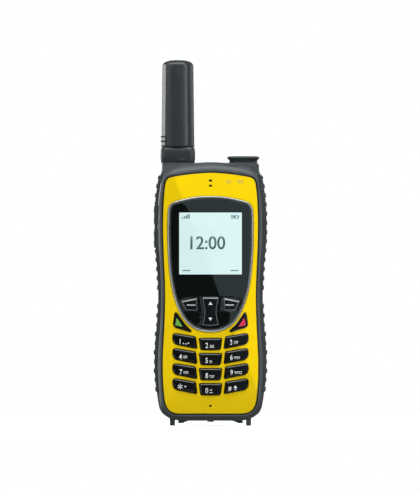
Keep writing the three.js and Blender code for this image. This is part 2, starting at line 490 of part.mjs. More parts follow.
add("sos_button", cylinder(4.3, [SOS_X, SOS_Y, 132.8], [SOS_X, SOS_Y, 139.3], 20).add(cylinder(3.7, [SOS_X, SOS_Y, 139], [SOS_X, SOS_Y, 139.6], 20)), "sos_red");
const POWER = rect(-3.35, 3.35, 1.45, 6.35, 1.5);
add("power_button", loft([{ pts: POWER, w: 130.5 }, { pts: POWER, w: 137.9 }, { pts: offset(POWER, -0.5), w: 138.3 }], alongZ), "key_black");

// ---------------------------------------------------------------- battery, card, contacts
const packOuter = rect(-BATTERY.x, BATTERY.x, BATTERY.z0, BATTERY.z1, 2.2);
let pack = loft([
  { pts: packOuter, w: BATTERY.y0 + 1.5 }, { pts: packOuter, w: 12.7 }, { pts: offset(packOuter, -0.7), w: BACK },
], alongY).subtract(prism(rect(-22.2, 22.2, BATTERY.z0 + 1.5, BATTERY.z1 - 1.5, 1), 0, 12.2));
add("battery_cover", pack, "battery_black");
add("battery_cell", box(-21.9, 21.9, BATTERY.y0 + 0.2, 12.0, BATTERY.z0 + 1.8, BATTERY.z1 - 4.6), "cell_wrap");
let latch = loft([
  { pts: rect(4.0, 17.0, 80.0, 87.6, 0.8, 2), w: 12.1 }, { pts: rect(4.0, 17.0, 80.0, 87.6, 0.8, 2), w: 12.9 },
  { pts: rect(4.4, 16.6, 80.4, 87.2, 0.8, 2), w: 13.3 }], alongY);
for (let i = 0; i < 4; i++) latch = latch.subtract(box(5.6, 15.4, 12.95, 14, 81.2 + i * 1.5, 81.9 + i * 1.5));
add("battery_latch", latch, "grip_rubber");
let contacts = box(-8, 8, -4.0, 1.1, 71.5, 76.8);
add("battery_contacts", contacts, "contact_gold");
add("sim_holder", box(-8.0, 8.0, -4.6, -2.5, 34, 60).subtract(box(-6.8, 6.8, -3.2, -1, 35.4, 70)), "shield_steel");
add("sim_card", box(-6.6, 6.6, -3.1, -2.3, 35.7, 59.4), "cell_wrap");
add("loudspeaker", cylinder(7.6, [10.6, 4.6, 110], [10.6, 10.5, 110], 24), "shield_steel");
add("gps_patch", box(8, 24, -2.2, 1.8, 113.9 + 8, 129.4), "patch_ceramic");

// ---------------------------------------------------------------- bottom port
add("dock_connector", box(-9.8, 9.8, -2.0, 6.8, 4.1, 6.7).subtract(box(-8.6, 8.6, -0.6, 5.4, 3, 5.7)), "contact_gold");
let flap = box(-11.1, 11.1, -2.3, 7.4, 2.55, 3.75).add(cylinder(0.6, [-11.1, 7.4, 3.15], [11.1, 7.4, 3.15], 12))
  .add(box(-1.7, 1.7, -2.3, 2.0, 1.85, 2.7));
add("port_cover", flap, "grip_rubber");

export default root;
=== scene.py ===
"""Looks for the satellite handset: fine meshes, procedural materials, soft studio light.

Everything is drawn in millimetres and stored in metres, in the part's own frame.
"""

import math

import bpy
import bmesh
from mathutils import Matrix, Vector
from mathutils.geometry import tessellate_polygon


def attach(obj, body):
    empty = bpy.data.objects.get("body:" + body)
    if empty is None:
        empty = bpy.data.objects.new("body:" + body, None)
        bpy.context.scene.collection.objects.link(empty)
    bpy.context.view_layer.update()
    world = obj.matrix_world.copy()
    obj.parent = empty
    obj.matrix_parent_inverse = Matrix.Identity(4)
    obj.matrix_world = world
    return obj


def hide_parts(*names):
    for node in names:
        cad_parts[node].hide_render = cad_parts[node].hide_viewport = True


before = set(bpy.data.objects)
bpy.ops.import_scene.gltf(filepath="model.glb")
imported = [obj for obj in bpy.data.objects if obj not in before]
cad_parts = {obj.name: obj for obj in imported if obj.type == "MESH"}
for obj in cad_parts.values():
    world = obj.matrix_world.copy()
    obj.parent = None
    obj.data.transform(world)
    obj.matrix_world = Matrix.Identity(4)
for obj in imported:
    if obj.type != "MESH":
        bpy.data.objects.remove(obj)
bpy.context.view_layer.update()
MM = 0.001

# ------------------------------------------------------------------ shared dimensions, mm
RIM_FRONT, PLATE_FRONT, SPLIT, BACK = -12.9, -12.6, -5.0, 13.5
FLOOR_Y, BAY_X, BAY_Z = 0.5, -7.6, 80.0
ANT_X, ANT_Y, PIVOT_Z = -17.2, 7.1, 141.5
SOS_X, SOS_Y = 17.3, 4.2
HINGE = (12.5, 139.2)
KEY_PITCH = 7.93

SILHOUETTE = [
    (0, 138.4), (8, 138.4), (16, 138.4), (22, 138.4), (24.7, 138.3), (25.45, 137.6),
    (25.55, 134.6), (26.0, 133.1), (26.9, 131.4), (27.5, 129.3), (27.95, 126.2), (28.4, 123),
    (28.85, 119.5), (29.1, 116), (29.3, 111.5), (29.45, 105), (29.4, 99), (29.15, 95.2),
    (28.7, 90.2), (28.2, 85.1), (27.85, 80), (27.65, 75.5), (27.55, 70), (27.57, 65),
    (27.75, 60), (28.05, 55), (28.4, 50.4), (28.85, 45.6), (29.15, 41.2), (29.3, 36.5),
    (29.3, 31), (29.1, 25.8), (28.65, 20.5), (28.1, 16), (27.5, 12.1), (26.8, 9),
    (25.8, 7.1), (24.3, 5.5), (22.25, 4.15), (19.6, 3.1), (16.5, 2.6), (13, 2.5), (0, 2.5)]
FRONT_OUTER = [
    (0, 138.75), (4, 138.65), (8, 138.25), (15.5, 137.4), (20.4, 136.0), (23.4, 133.9), (25.1, 131),
    (25.9, 127.6), (26.6, 123.2), (27.2, 118), (27.6, 112), (27.75, 105), (27.7, 98),
    (27.3, 91.5), (26.8, 86), (26.4, 80.5), (26.15, 75), (26.05, 69), (26.1, 63),
    (26.35, 57), (26.75, 51), (27.2, 45.5), (27.6, 40), (27.8, 34), (27.75, 28.5),
    (27.5, 23.5), (27.15, 18.5), (26.9, 14.5), (26.5, 10.6), (25.6, 7.4), (24.2, 5.6),
    (22.2, 4.25), (19.6, 3.2), (16.5, 2.75), (13, 2.65), (0, 2.65)]
PLATE = [
    (0, 133.1), (5.5, 132.85), (10.2, 132.4), (14.8, 131.8), (18.6, 131.2), (21.2, 130.6),
    (22.8, 129.6), (23.6, 127.9), (24.0, 125.2), (24.5, 120.3), (24.85, 113.5), (25.0, 105),
    (24.85, 96.5), (24.55, 88), (24.2, 80), (23.95, 73), (23.9, 66), (24.05, 59),
    (24.35, 51.5), (24.75, 43.5), (25.1, 36), (25.15, 29), (24.95, 23), (24.55, 17.5),
    (24.05, 13.2), (23.2, 10.3), (21.8, 8.2), (19.8, 6.95), (17.2, 6.4), (13.5, 6.35), (0, 6.35)]
BEZEL = [
    (0, 120.8), (5, 120.65), (9.5, 120.15), (13.5, 119.35), (17.2, 118.4), (19.9, 117.4),
    (21.5, 115.9), (22.3, 113.5), (22.55, 108), (22.6, 101), (22.5, 94.5), (22.2, 88),
    (21.7, 81.5), (20.9, 75.5), (19.8, 70), (18.3, 64.8), (16.2, 59.8), (13.4, 55.2),
    (10, 52.1), (6.5, 50.3), (3.2, 49.45), (0, 49.2)]


# ------------------------------------------------------------------ outlines, anticlockwise
def area(p):
    return sum(a[0] * b[1] - b[0] * a[1] for a, b in zip(p, p[1:] + p[:1])) / 2


def ccw(p):
    return list(reversed(p)) if area(p) < 0 else list(p)


def mirror(p):
    return ccw([(-x, z) for x, z in p])


def spline(pts, per=24):
    """Centripetal Catmull-Rom through pts, whose ends are mirrored over x = 0."""
    p = [(-pts[1][0], pts[1][1])] + list(pts) + [(-pts[-2][0], pts[-2][1])]
    out = []
    for i in range(1, len(p) - 2):
        q = [Vector(v) for v in p[i - 1:i + 3]]
        t = [0.0]
        for a, b in zip(q, q[1:]):
            t.append(t[-1] + max((b - a).length, 1e-6) ** 0.5)
        for k in range(per):
            u = t[1] + (t[2] - t[1]) * k / per
            a1 = q[0].lerp(q[1], (u - t[0]) / (t[1] - t[0]))
            a2 = q[1].lerp(q[2], (u - t[1]) / (t[2] - t[1]))
            a3 = q[2].lerp(q[3], (u - t[2]) / (t[3] - t[2]))
            b1 = a1.lerp(a2, (u - t[0]) / (t[2] - t[0]))
            b2 = a2.lerp(a3, (u - t[1]) / (t[3] - t[1]))
            out.append(b1.lerp(b2, (u - t[1]) / (t[2] - t[1])))
    out.append(Vector(pts[-1]))
    return out


def outline(half, n):
    """A closed outline of 2n points: the right half and its mirror image."""
    fine = spline(half)
    s = [0.0]
    for a, b in zip(fine, fine[1:]):
        s.append(s[-1] + (b - a).length)
    right, j = [], 0
    for i in range(n + 1):
        want = s[-1] * i / n
        while j < len(s) - 2 and s[j + 1] < want:
            j += 1
        v = fine[j].lerp(fine[j + 1], (want - s[j]) / max(s[j + 1] - s[j], 1e-9))
        right.append((v.x, v.y))
    right[0], right[n] = (0.0, right[0][1]), (0.0, right[n][1])
    return ccw(right + [(-x, z) for x, z in reversed(right[1:-1])])


def offset(poly, d):
    out, n = [], len(poly)
    for i, p in enumerate(poly):
        a, b = poly[i - 1], poly[(i + 1) % n]
        n1, n2 = Vector((p[1] - a[1], a[0] - p[0])), Vector((b[1] - p[1], p[0] - b[0]))
        if n1.length < 1e-9:
            n1 = n2.copy()
        if n2.length < 1e-9:
            n2 = n1.copy()
        n1.normalize(); n2.normalize()
        m = n1 + n2
        if m.length < 1e-6:
            m = n1.copy()
        c = max(0.4, m.length / 2)
        m.normalize()
        out.append((p[0] + m.x * d / c, p[1] + m.y * d / c))
    return out


def rounded(corners, seg=7):
    """Polygon with rounded corners; a corner is (u, v, reach of the round)."""
    out, n = [], len(corners)
    for i, (x, y, cut) in enumerate(corners):
        if not cut:
            out.append((x, y))
            continue
        a, b = Vector(corners[i - 1][:2]), Vector(corners[(i + 1) % n][:2])
        p = Vector((x, y))
        s, e = p + (a - p).normalized() * cut, p + (b - p).normalized() * cut
        for k in range(seg + 1):
            t = k / seg
            v = s * (1 - t) ** 2 + p * 2 * t * (1 - t) + e * t * t
            out.append((v.x, v.y))
    return ccw(out)


def rect(u0, u1, v0, v1, r=0.0, seg=7):
    if r:
        return rounded([(u0, v0, r), (u1, v0, r), (u1, v1, r), (u0, v1, r)], seg)
    return [(u0, v0), (u1, v0), (u1, v1), (u0, v1)]


def circle(u, v, r, n=40):
    return [(u + r * math.cos(2 * math.pi * i / n), v + r * math.sin(2 * math.pi * i / n)) for i in range(n)]


def densify(poly, step):
    """Adds points so that no edge is longer than step."""
    out, n = [], len(poly)
    for i, a in enumerate(poly):
        b = poly[(i + 1) % n]
        k = max(1, math.ceil(math.hypot(b[0] - a[0], b[1] - a[1]) / step))
        out += [(a[0] + (b[0] - a[0]) * j / k, a[1] + (b[1] - a[1]) * j / k) for j in range(k)]
    return out


def drawn_in(poly, d):
    return [(x * (1 - d / 29.4), 70.4 + (z - 70.4) * (1 - d / 68)) for x, z in poly]


def mix(p, q, t):
    return [(a[0] + (b[0] - a[0]) * t, a[1] + (b[1] - a[1]) * t) for a, b in zip(p, q)]


def scaled(p, k, cu, cv):
    return [(cu + k * (u - cu), cv + k * (v - cv)) for u, v in p]


# ------------------------------------------------------------------ mesh building
ALONG_Y = lambda u, v, w: (u, w, v)
ALONG_Z = lambda u, v, w: (u, v, w)
ALONG_X = lambda u, v, w: (w, u, v)


class Form:
    """Collects closed solids, then becomes one Blender object."""

    def __init__(self):
        self.v, self.f, self.m = [], [], []

    def ring(self, pts, w, place):
        i = len(self.v)
        self.v += [place(u, v, w) for u, v in pts]
        return list(range(i, i + len(pts)))

    def bridge(self, a, b, mat=0):
        n = len(a)
        for i in range(n):
            j = (i + 1) % n
            self.f.append((a[i], a[j], b[j], b[i]))
            self.m.append(mat)

    def cap(self, loops, mat=0):
        flat = [i for l in loops for i in l]
        if len(loops) == 1 and len(flat) <= 4:
            self.f.append(tuple(flat)); self.m.append(mat)
            return
        tris = tessellate_polygon([[Vector(self.v[i]) for i in l] for l in loops])
        for t in tris:
            self.f.append(tuple(flat[k] for k in t)); self.m.append(mat)

    def solid(self, rings, place=ALONG_Y, holes=(), mat=0, front_mat=None):
        """rings: [(points, w), ...] of the outside; holes: more such stacks. Ends are closed."""
        stacks = [[self.ring(p, w, place) for p, w in s] for s in [rings, *holes]]
        for s in stacks:
            for a, b in zip(s, s[1:]):
                self.bridge(a, b, mat)
        self.cap([s[0] for s in stacks], mat if front_mat is None else front_mat)
        self.cap([s[-1] for s in stacks], mat)
        return self

    def hoop(self, rings, place=ALONG_Y, mat=0):
        """rings closed on themselves, such as a frame's section run round its outline."""
        s = [self.ring(p, w, place) for p, w in rings]
        for a, b in zip(s, s[1:] + s[:1]):
            self.bridge(a, b, mat)
        return self

    def object(self, name, mats, sharp=32, weighted=True):
        me = bpy.data.meshes.new(name)
        me.from_pydata([tuple(c * MM for c in v) for v in self.v], [], self.f)
        for p, m in zip(me.polygons, self.m):
            p.material_index = m
        bm = bmesh.new(); bm.from_mesh(me)
        bmesh.ops.recalc_face_normals(bm, faces=bm.faces)
        if bm.calc_volume(signed=True) < 0:
            bmesh.ops.reverse_faces(bm, faces=bm.faces)
        bm.to_mesh(me); bm.free()
        ob = bpy.data.objects.new(name, me)
        bpy.context.scene.collection.objects.link(ob)
        for m in mats if isinstance(mats, (list, tuple)) else [mats]:
            me.materials.append(m)
        shade(ob, sharp, weighted)
        return ob


def shade(ob, sharp=32, weighted=True):
    me = ob.data
    me.shade_smooth()
    me.set_sharp_from_angle(angle=math.radians(sharp))
    if weighted and len(me.polygons):
        w = ob.modifiers.new("normals", "WEIGHTED_NORMAL")
        w.keep_sharp = True
        w.weight = 80


def rounding(poly, w0, r, steps=4, sign=1):
    """Stack of rings from an outline inset by r at w0 to the full outline r further on."""
    out = []
    for k in range(steps + 1):
        a = math.pi / 2 * k / steps
        out.append((offset(poly, -r * (1 - math.sin(a))), w0 + sign * r * (1 - math.cos(a))))
    return out


def apply_modifiers(ob):
    dg = bpy.context.evaluated_depsgraph_get()
    me = bpy.data.meshes.new_from_object(ob.evaluated_get(dg))
    ob.modifiers.clear()
    ob.data = me


def boolean(ob, cutter, op):
    m = ob.modifiers.new("cut", "BOOLEAN")
    m.operation, m.object, m.solver = op, cutter, "EXACT"
    apply_modifiers(ob)
    bpy.data.objects.remove(cutter)


def show(ob, body, nodes):
    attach(ob, body)
    if nodes:
        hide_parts(*nodes)
    return ob


# ------------------------------------------------------------------ materials
def lin(c):
    c /= 255.0
    return c / 12.92 if c <= 0.04045 else ((c + 0.055) / 1.055) ** 2.4


def srgb(r, g, b):
    return (lin(r), lin(g), lin(b), 1.0)


def material(name, low, high, rough=(0.4, 0.5), metal=0.0, grain=900.0, bump=0.05, bump_mm=0.02,
             blotch=60.0, coat=0.0, coat_rough=0.1, wear=None, spec=0.5, emit=None):
    """Moulded or metal surface: two-tone variation, fine grain in bump and roughness, worn edges."""
    m = bpy.data.materials.new(name)
    m.use_nodes = True
    nt = m.node_tree
    n, l = nt.nodes, nt.links
    bsdf = n["Principled BSDF"]
    tc = n.new("ShaderNodeTexCoord")
    big = n.new("ShaderNodeTexNoise"); big.inputs["Scale"].default_value = blotch; big.inputs["Detail"].default_value = 3
    fine = n.new("ShaderNodeTexNoise"); fine.inputs["Scale"].default_value = grain; fine.inputs["Detail"].default_value = 4
    l.new(tc.outputs["Object"], big.inputs["Vector"]); l.new(tc.outputs["Object"], fine.inputs["Vector"])
    ramp = n.new("ShaderNodeValToRGB")
    ramp.color_ramp.elements[0].position, ramp.color_ramp.elements[1].position = 0.3, 0.7
    ramp.color_ramp.elements[0].color, ramp.color_ramp.elements[1].color = low, high
    l.new(big.outputs["Fac"], ramp.inputs["Fac"])
    colour = ramp.outputs["Color"]
    if wear:
        geo = n.new("ShaderNodeNewGeometry")
        edge = n.new("ShaderNodeMapRange")
        edge.inputs["From Min"].default_value, edge.inputs["From Max"].default_value = 0.52, 0.62
        l.new(geo.outputs["Pointiness"], edge.inputs["Value"])
        mul = n.new("ShaderNodeMath"); mul.operation = "MULTIPLY"
        l.new(edge.outputs["Result"], mul.inputs[0]); l.new(big.outputs["Fac"], mul.inputs[1])
        mx = n.new("ShaderNodeMix"); mx.data_type = "RGBA"
        l.new(mul.outputs["Value"], mx.inputs["Factor"])
        l.new(colour, mx.inputs["A"]); mx.inputs["B"].default_value = wear
        colour = mx.outputs["Result"]
    l.new(colour, bsdf.inputs["Base Color"])
    mr = n.new("ShaderNodeMapRange")
    mr.inputs["From Min"].default_value, mr.inputs["From Max"].default_value = 0.3, 0.7
    mr.inputs["To Min"].default_value, mr.inputs["To Max"].default_value = rough
    l.new(fine.outputs["Fac"], mr.inputs["Value"]); l.new(mr.outputs["Result"], bsdf.inputs["Roughness"])
    bp = n.new("ShaderNodeBump"); bp.inputs["Strength"].default_value = bump; bp.inputs["Distance"].default_value = bump_mm * MM
    l.new(fine.outputs["Fac"], bp.inputs["Height"]); l.new(bp.outputs["Normal"], bsdf.inputs["Normal"])
    bsdf.inputs["Metallic"].default_value = metal
    bsdf.inputs["Specular IOR Level"].default_value = spec
    bsdf.inputs["Coat Weight"].default_value = coat
    bsdf.inputs["Coat Roughness"].default_value = coat_rough
    if emit:
        l.new(colour, bsdf.inputs["Emission Color"])
        bsdf.inputs["Emission Strength"].default_value = emit
    return m


YELLOW = material("plate_yellow", srgb(227, 193, 0), srgb(232, 199, 0), (0.36, 0.42), 0, 2600, 0.04, 0.004, 45, coat=0.08, coat_rough=0.08, spec=0.14)
HOUSING = material("housing_grey", srgb(57, 63, 66), srgb(66, 72, 75), (0.42, 0.58), 0, 3400, 0.35, 0.02, 70, wear=srgb(104, 110, 112))
RUBBER = material("grip_rubber", srgb(37, 44, 47), srgb(46, 53, 56), (0.62, 0.78), 0, 4200, 0.4, 0.025, 110, wear=srgb(64, 69, 71))
ANTENNA = material("antenna_grey", srgb(38, 44, 46), srgb(45, 51, 53), (0.30, 0.33), 0, 3800, 0.04, 0.002, 60, wear=srgb(64, 70, 72), spec=0.4)
KNUCKLE = material("antenna_knuckle_grey", srgb(29, 34, 37), srgb(37, 42, 45), (0.36, 0.48), 0, 3000, 0.5, 0.03, 90, wear=srgb(78, 84, 86))
KNUCKLE_MARK = material("antenna_mark_grey", srgb(64, 70, 73), srgb(76, 82, 85), (0.4, 0.5), 0, 3000, 0.2, 0.01, 90)
SILVER = material("trim_silver", srgb(176, 181, 184), srgb(190, 194, 197), (0.24, 0.32), 0.9, 5200, 0.12, 0.004, 80)
# darker copy of the bezel's silver: painted shade on the inner part of the bezel
TRIM_PAINTED_SHADE = material("trim_shade", srgb(84, 90, 92), srgb(98, 104, 106), (0.3, 0.4), 0.8, 5200, 0.12, 0.004, 80)
LENS = material("lens_black", srgb(4, 9, 8), srgb(6, 11, 10), (0.0, 0.012), 0, 1800, 0.004, 0.001, 40, coat=0.4, coat_rough=0.01)
KEY = material("key_black", srgb(2, 3, 4), srgb(5, 6, 7), (0.10, 0.14), 0, 5200, 0.03, 0.001, 150, spec=0.42)
# grey for the lines round the lens keys: a painted highlight on their edges
KEY_EDGE_HIGHLIGHT = material("key_edge_painted_highlight", srgb(104, 110, 112), srgb(120, 126, 128), (0.35, 0.45), 0.0, 5200, 0.1, 0.004, 150)
# light grey for the printed dash on the soft keys and for the painted highlight along the top edges of the lens keys
KEY_MARK_AND_HIGHLIGHT = material("key_mark_and_painted_highlight", srgb(160, 164, 166), srgb(176, 180, 182), (0.25, 0.35), 0.0, 5200, 0.1, 0.004, 150)
PRINT = material("legend_white", srgb(220, 224, 226), srgb(238, 240, 240), (0.45, 0.55), 0, 5200, 0.1, 0.003, 200)
ICON = material("icon_grey", srgb(180, 160, 74), srgb(190, 170, 84), (0.45, 0.55), 0, 5200, 0.1, 0.003, 200)
GREEN = material("call_green", srgb(104, 168, 66), srgb(116, 178, 76), (0.3, 0.4), 0, 5200, 0.1, 0.003, 200)
RED = material("end_red", srgb(186, 40, 70), srgb(198, 52, 82), (0.3, 0.4), 0, 5200, 0.1, 0.003, 200)
INK = material("lcd_ink", srgb(62, 90, 96), srgb(74, 102, 108), (0.3, 0.4), 0, 5200, 0.05, 0.002, 200)
SOS_RED = material("sos_red", srgb(178, 26, 30), srgb(192, 34, 36), (0.3, 0.4), 0, 3000, 0.2, 0.01, 120, wear=srgb(214, 80, 76))
STEEL = material("steel", srgb(150, 153, 156), srgb(178, 181, 184), (0.25, 0.4), 1.0, 2600, 0.2, 0.01, 200)
GOLD = material("contact_gold", srgb(190, 152, 60), srgb(210, 172, 78), (0.22, 0.34), 1.0, 2600, 0.2, 0.008, 200)
BOARD = material("board_green", srgb(16, 70, 40), srgb(24, 88, 50), (0.35, 0.5), 0, 1200, 0.5, 0.05, 260)
SILICONE = material("silicone_grey", srgb(150, 152, 154), srgb(164, 166, 168), (0.6, 0.75), 0, 2400, 0.3, 0.02, 100)
BATTERY = material("battery_black", srgb(40, 43, 45), srgb(48, 51, 54), (0.5, 0.66), 0, 2800, 0.7, 0.04, 80, wear=srgb(80, 84, 86))
WRAP = material("cell_wrap", srgb(40, 62, 96), srgb(50, 76, 112), (0.35, 0.45), 0, 900, 0.2, 0.02, 60)
CERAMIC = material("patch_ceramic", srgb(206, 196, 172), srgb(218, 208, 184), (0.5, 0.65), 0, 1800, 0.4, 0.02, 100)
MESH = material("steel_mesh_dark", srgb(20, 21, 22), srgb(30, 31, 32), (0.5, 0.7), 0.6, 2600, 0.5, 0.03, 300)
# dark colour of the seal, the antenna joint ring and the antenna ridges; also painted shade on the gap wall round the
# faceplate
SEAL_AND_GAP_SHADE = material("seal_black", srgb(22, 24, 25), srgb(28, 30, 31), (0.6, 0.8), 0, 2400, 0.3, 0.02, 100)


def display_material():
    """Pale backlit display: a faint pixel grid and a slow brightness drift across the panel."""
    m = material("lcd_pale", srgb(182, 204, 205), srgb(188, 209, 209), (0.05, 0.08), 0, 1800, 0.01, 0.002, 30, coat=0.3, coat_rough=0.03)
    nt = m.node_tree
    n, l = nt.nodes, nt.links
    bsdf = n["Principled BSDF"]
    tc = n.new("ShaderNodeTexCoord")
    waves = []
    for axis in ("X", "Z"):
        w = n.new("ShaderNodeTexWave")
        w.wave_type, w.bands_direction, w.wave_profile = "BANDS", axis, "SIN"
        w.inputs["Scale"].default_value = 1250.0
        l.new(tc.outputs["Object"], w.inputs["Vector"])
        waves.append(w)
    mn = n.new("ShaderNodeMath"); mn.operation = "MINIMUM"
    l.new(waves[0].outputs["Fac"], mn.inputs[0]); l.new(waves[1].outputs["Fac"], mn.inputs[1])
    rng = n.new("ShaderNodeMapRange")
    rng.inputs["From Min"].default_value, rng.inputs["From Max"].default_value = 0.0, 0.25
    rng.inputs["To Min"].default_value, rng.inputs["To Max"].default_value = 0.9, 1.0
    l.new(mn.outputs["Value"], rng.inputs["Value"])
    src = bsdf.inputs["Base Color"].links[0].from_socket
    mul = n.new("ShaderNodeMix"); mul.data_type = "RGBA"; mul.blend_type = "MULTIPLY"
    mul.inputs["Factor"].default_value = 1.0
    l.new(src, mul.inputs["A"]); l.new(rng.outputs["Result"], mul.inputs["B"])
    dim = n.new("ShaderNodeMix"); dim.data_type = "RGBA"; dim.blend_type = "MULTIPLY"
    dim.inputs["Factor"].default_value = 1.0
    dim.inputs["B"].default_value = (0.25, 0.25, 0.25, 1)
    l.new(mul.outputs["Result"], dim.inputs["A"])
    l.new(dim.outputs["Result"], bsdf.inputs["Base Color"])
    l.new(mul.outputs["Result"], bsdf.inputs["Emission Color"])
    bsdf.inputs["Emission Strength"].default_value = 1.2
    return m


LCD = display_material()

# ------------------------------------------------------------------ key outlines
def key_side(row):
    z = -row * KEY_PITCH
    return rounded([(-19.8, 48.75 + z, 2.1), (-19.8, 43.1 + z, 2.9), (-7.15, 40.6 + z, 0.7), (-7.95, 46.75 + z, 0.8)])


def key_middle(row):
    z = -row * KEY_PITCH
    return rounded([(-5.9, 45.9 + z, 0.7), (-5.1, 40.05 + z, 0.8), (0, 39.9 + z, 0), (5.1, 40.05 + z, 0.8), (5.9, 45.9 + z, 0.7)])


CALL = rounded([(-18.5, 60.2, 1.8), (-19.7, 52.2, 2.0), (-9.3, 49.0, 2.4), (-13.6, 53.2, 0)])
SOFT = rounded([(-15.6, 65.85, 0.6), (-13.1, 60.4, 0.9), (-6.6, 60.4, 0.8), (-7.0, 67.5, 0.5)])
NAV = rounded([
    (-4.5, 67.8, 0.6), (-3.9, 63.5, 0.8), (-3.3, 60.4, 1.2), (-3.75, 56.9, 0.8), (-4.7, 52.9, 0.8),
    (0, 52.1, 2.0), (4.7, 52.9, 0.8), (3.75, 56.9, 0.8), (3.3, 60.4, 1.2), (3.9, 63.5, 0.8), (4.5, 67.8, 0.6)])
KEYS = {}
for i, k in enumerate(["key_1", "key_4", "key_7", "key_star"]):
    KEYS[k] = key_side(i)
for i, k in enumerate(["key_2", "key_5", "key_8", "key_0"]):
    KEYS[k] = key_middle(i)
for i, k in enumerate(["key_3", "key_6", "key_9", "key_hash"]):
    KEYS[k] = mirror(key_side(i))
KEYS["call_key"], KEYS["end_key"] = CALL, mirror(CALL)
LENS_KEYS = {"softkey_left": SOFT, "softkey_right": mirror(SOFT), "nav_key": NAV}

# ------------------------------------------------------------------ front of the handset
N = 150
silhouette = outline(SILHOUETTE, N)
front_outer = outline(FRONT_OUTER, N)
plate_ring = outline(PLATE, N)
bezel_ring = outline(BEZEL, 110)

# housing frame round the faceplate: a section run round the outline
rim_in, rim_out = offset(plate_ring, 0.45), offset(plate_ring, 1.6)
f = Form()
f.hoop([
    (offset(plate_ring, 0.74), -11.2), (offset(plate_ring, 0.74), -12.64), (offset(plate_ring, 0.78), -12.78), (offset(plate_ring, 0.86), -12.87),
    (offset(plate_ring, 0.95), RIM_FRONT), (offset(plate_ring, 1.3), RIM_FRONT), (mix(rim_out, front_outer, 0.0), -12.83),
    (mix(rim_out, front_outer, 0.16), -12.62), (mix(rim_out, front_outer, 0.36), -12.15), (mix(rim_out, front_outer, 0.58), -11.4),
    (mix(rim_out, front_outer, 0.78), -10.3), (mix(rim_out, front_outer, 0.92), -8.9), (mix(rim_out, front_outer, 0.985), -7.4),
    (front_outer, -6.2), (front_outer, -5.45), (offset(front_outer, -0.2), -5.22), (offset(front_outer, -1.4), -5.22),
    (offset(plate_ring, -1.9), -5.4), (offset(plate_ring, -1.9), -10.9), (offset(plate_ring, 0.74), -10.95)])
frame_ob = f.object("front_housing_fine", [HOUSING, SEAL_AND_GAP_SHADE], 50, False)
# faces on the inner wall of the gap round the faceplate take the dark seal colour: painted shade in the gap
for q in frame_ob.data.polygons[:N]:
    q.material_index = 1
CREASE = [((4.3, 139.3), (5.3, 138.3), (6.4, 137.8), -6.6), ((6.2, 137.85), (7.2, 137.5), (8.3, 137.22), -9.45),
          ((8.1, 137.26), (10.0, 136.93), (12.6, 136.83), -9.85), ((12.4, 136.83), (13.6, 136.86), (14.9, 136.97), -9.2)]
for *path, depth in CREASE:
    line = [(x, z + 0.2) for x, z in path] + [(x, z - 0.2) for x, z in reversed(path)]
    boolean(frame_ob, Form().solid([(ccw(line), -14.0), (ccw(line), depth)]).object("cutter", [], 30, False), "DIFFERENCE")
shade(frame_ob, 50)
show(frame_ob, "housing", ["front_housing"])

# faceplate with a softly rolled edge at the outline and at every opening
def hole(poly, y0, y1, r=0.22):
    return [(offset(poly, r), y0), (offset(poly, r * 0.4), y0 + r * 0.35), (poly, y0 + r), (poly, y1)]


holes = [hole(offset(densify(p, 0.6), 0.26), PLATE_FRONT, -11.15) for p in KEYS.values()]
holes.append(hole(offset(bezel_ring, 0.14), PLATE_FRONT, -11.15, 0.15))
for x, z in [(0, 129.0), (0, 126.3)]:
    holes.append(hole(rounded([(x - 0.85, z - 0.55, 0.5), (x + 0.85, z - 0.55, 0.5), (x + 0.85, z + 0.55, 0.5), (x - 0.85, z + 0.55, 0.5)]), PLATE_FRONT, -11.15, 0.12))
holes.append(hole(circle(0, 10.4, 0.68, 28), PLATE_FRONT, -11.15, 0.12))
face = offset(plate_ring, -0.03)
f = Form().solid([*rounding(face, PLATE_FRONT, 0.16), (face, -11.15)], holes=holes)
show(f.object("faceplate_fine", YELLOW, 40), "housing", ["faceplate"])

# silver bezel: a rounded frame section
w_in = offset(bezel_ring, -1.5)
f = Form().hoop([
    (bezel_ring, -11.35), (bezel_ring, -12.7), (offset(bezel_ring, -0.04), -12.88), (offset(bezel_ring, -0.14), -13.04),
    (offset(bezel_ring, -0.3), -13.13), (offset(bezel_ring, -0.46), -13.15), (offset(bezel_ring, -0.6), -13.1), (offset(bezel_ring, -0.68), -13.0),
    (offset(bezel_ring, -0.7), -12.9), (offset(bezel_ring, -0.7), -11.35)])
show(f.object("lens_bezel_fine", SILVER, 60), "housing", ["lens_bezel"])
# inner ring of the bezel in the darker copy of the silver: painted shade
f = Form().hoop([
    (offset(bezel_ring, -0.72), -11.35), (offset(bezel_ring, -0.72), -12.86), (offset(bezel_ring, -0.8), -12.94), (offset(bezel_ring, -1.05), -12.98),
    (offset(bezel_ring, -1.4), -12.98), (w_in, -12.92), (w_in, -11.35)])
show(f.object("lens_bezel_inner", TRIM_PAINTED_SHADE, 60), "housing", [])

# gloss lens, with openings for its keys and a window for the display
lens_ring = offset(bezel_ring, -1.62)
window = rect(-16.5, 16.5, 79.6, 112.2, 0.35, 4)
holes = [hole(offset(densify(p, 0.6), 0.2), -12.9, -11.4, 0.12) for p in LENS_KEYS.values()]
holes.append([(window, -12.9), (window, -11.4)])
f = Form().solid([*rounding(lens_ring, -12.9, 0.2), (lens_ring, -11.4)], holes=holes)
show(f.object("display_lens_fine", LENS, 40), "housing", ["display_lens"])

glass = offset(window, -0.02)
f = Form().solid([(glass, -12.88), (glass, -11.2)])
show(f.object("display_window", LCD, 40), "housing", ["lcd_panel"])
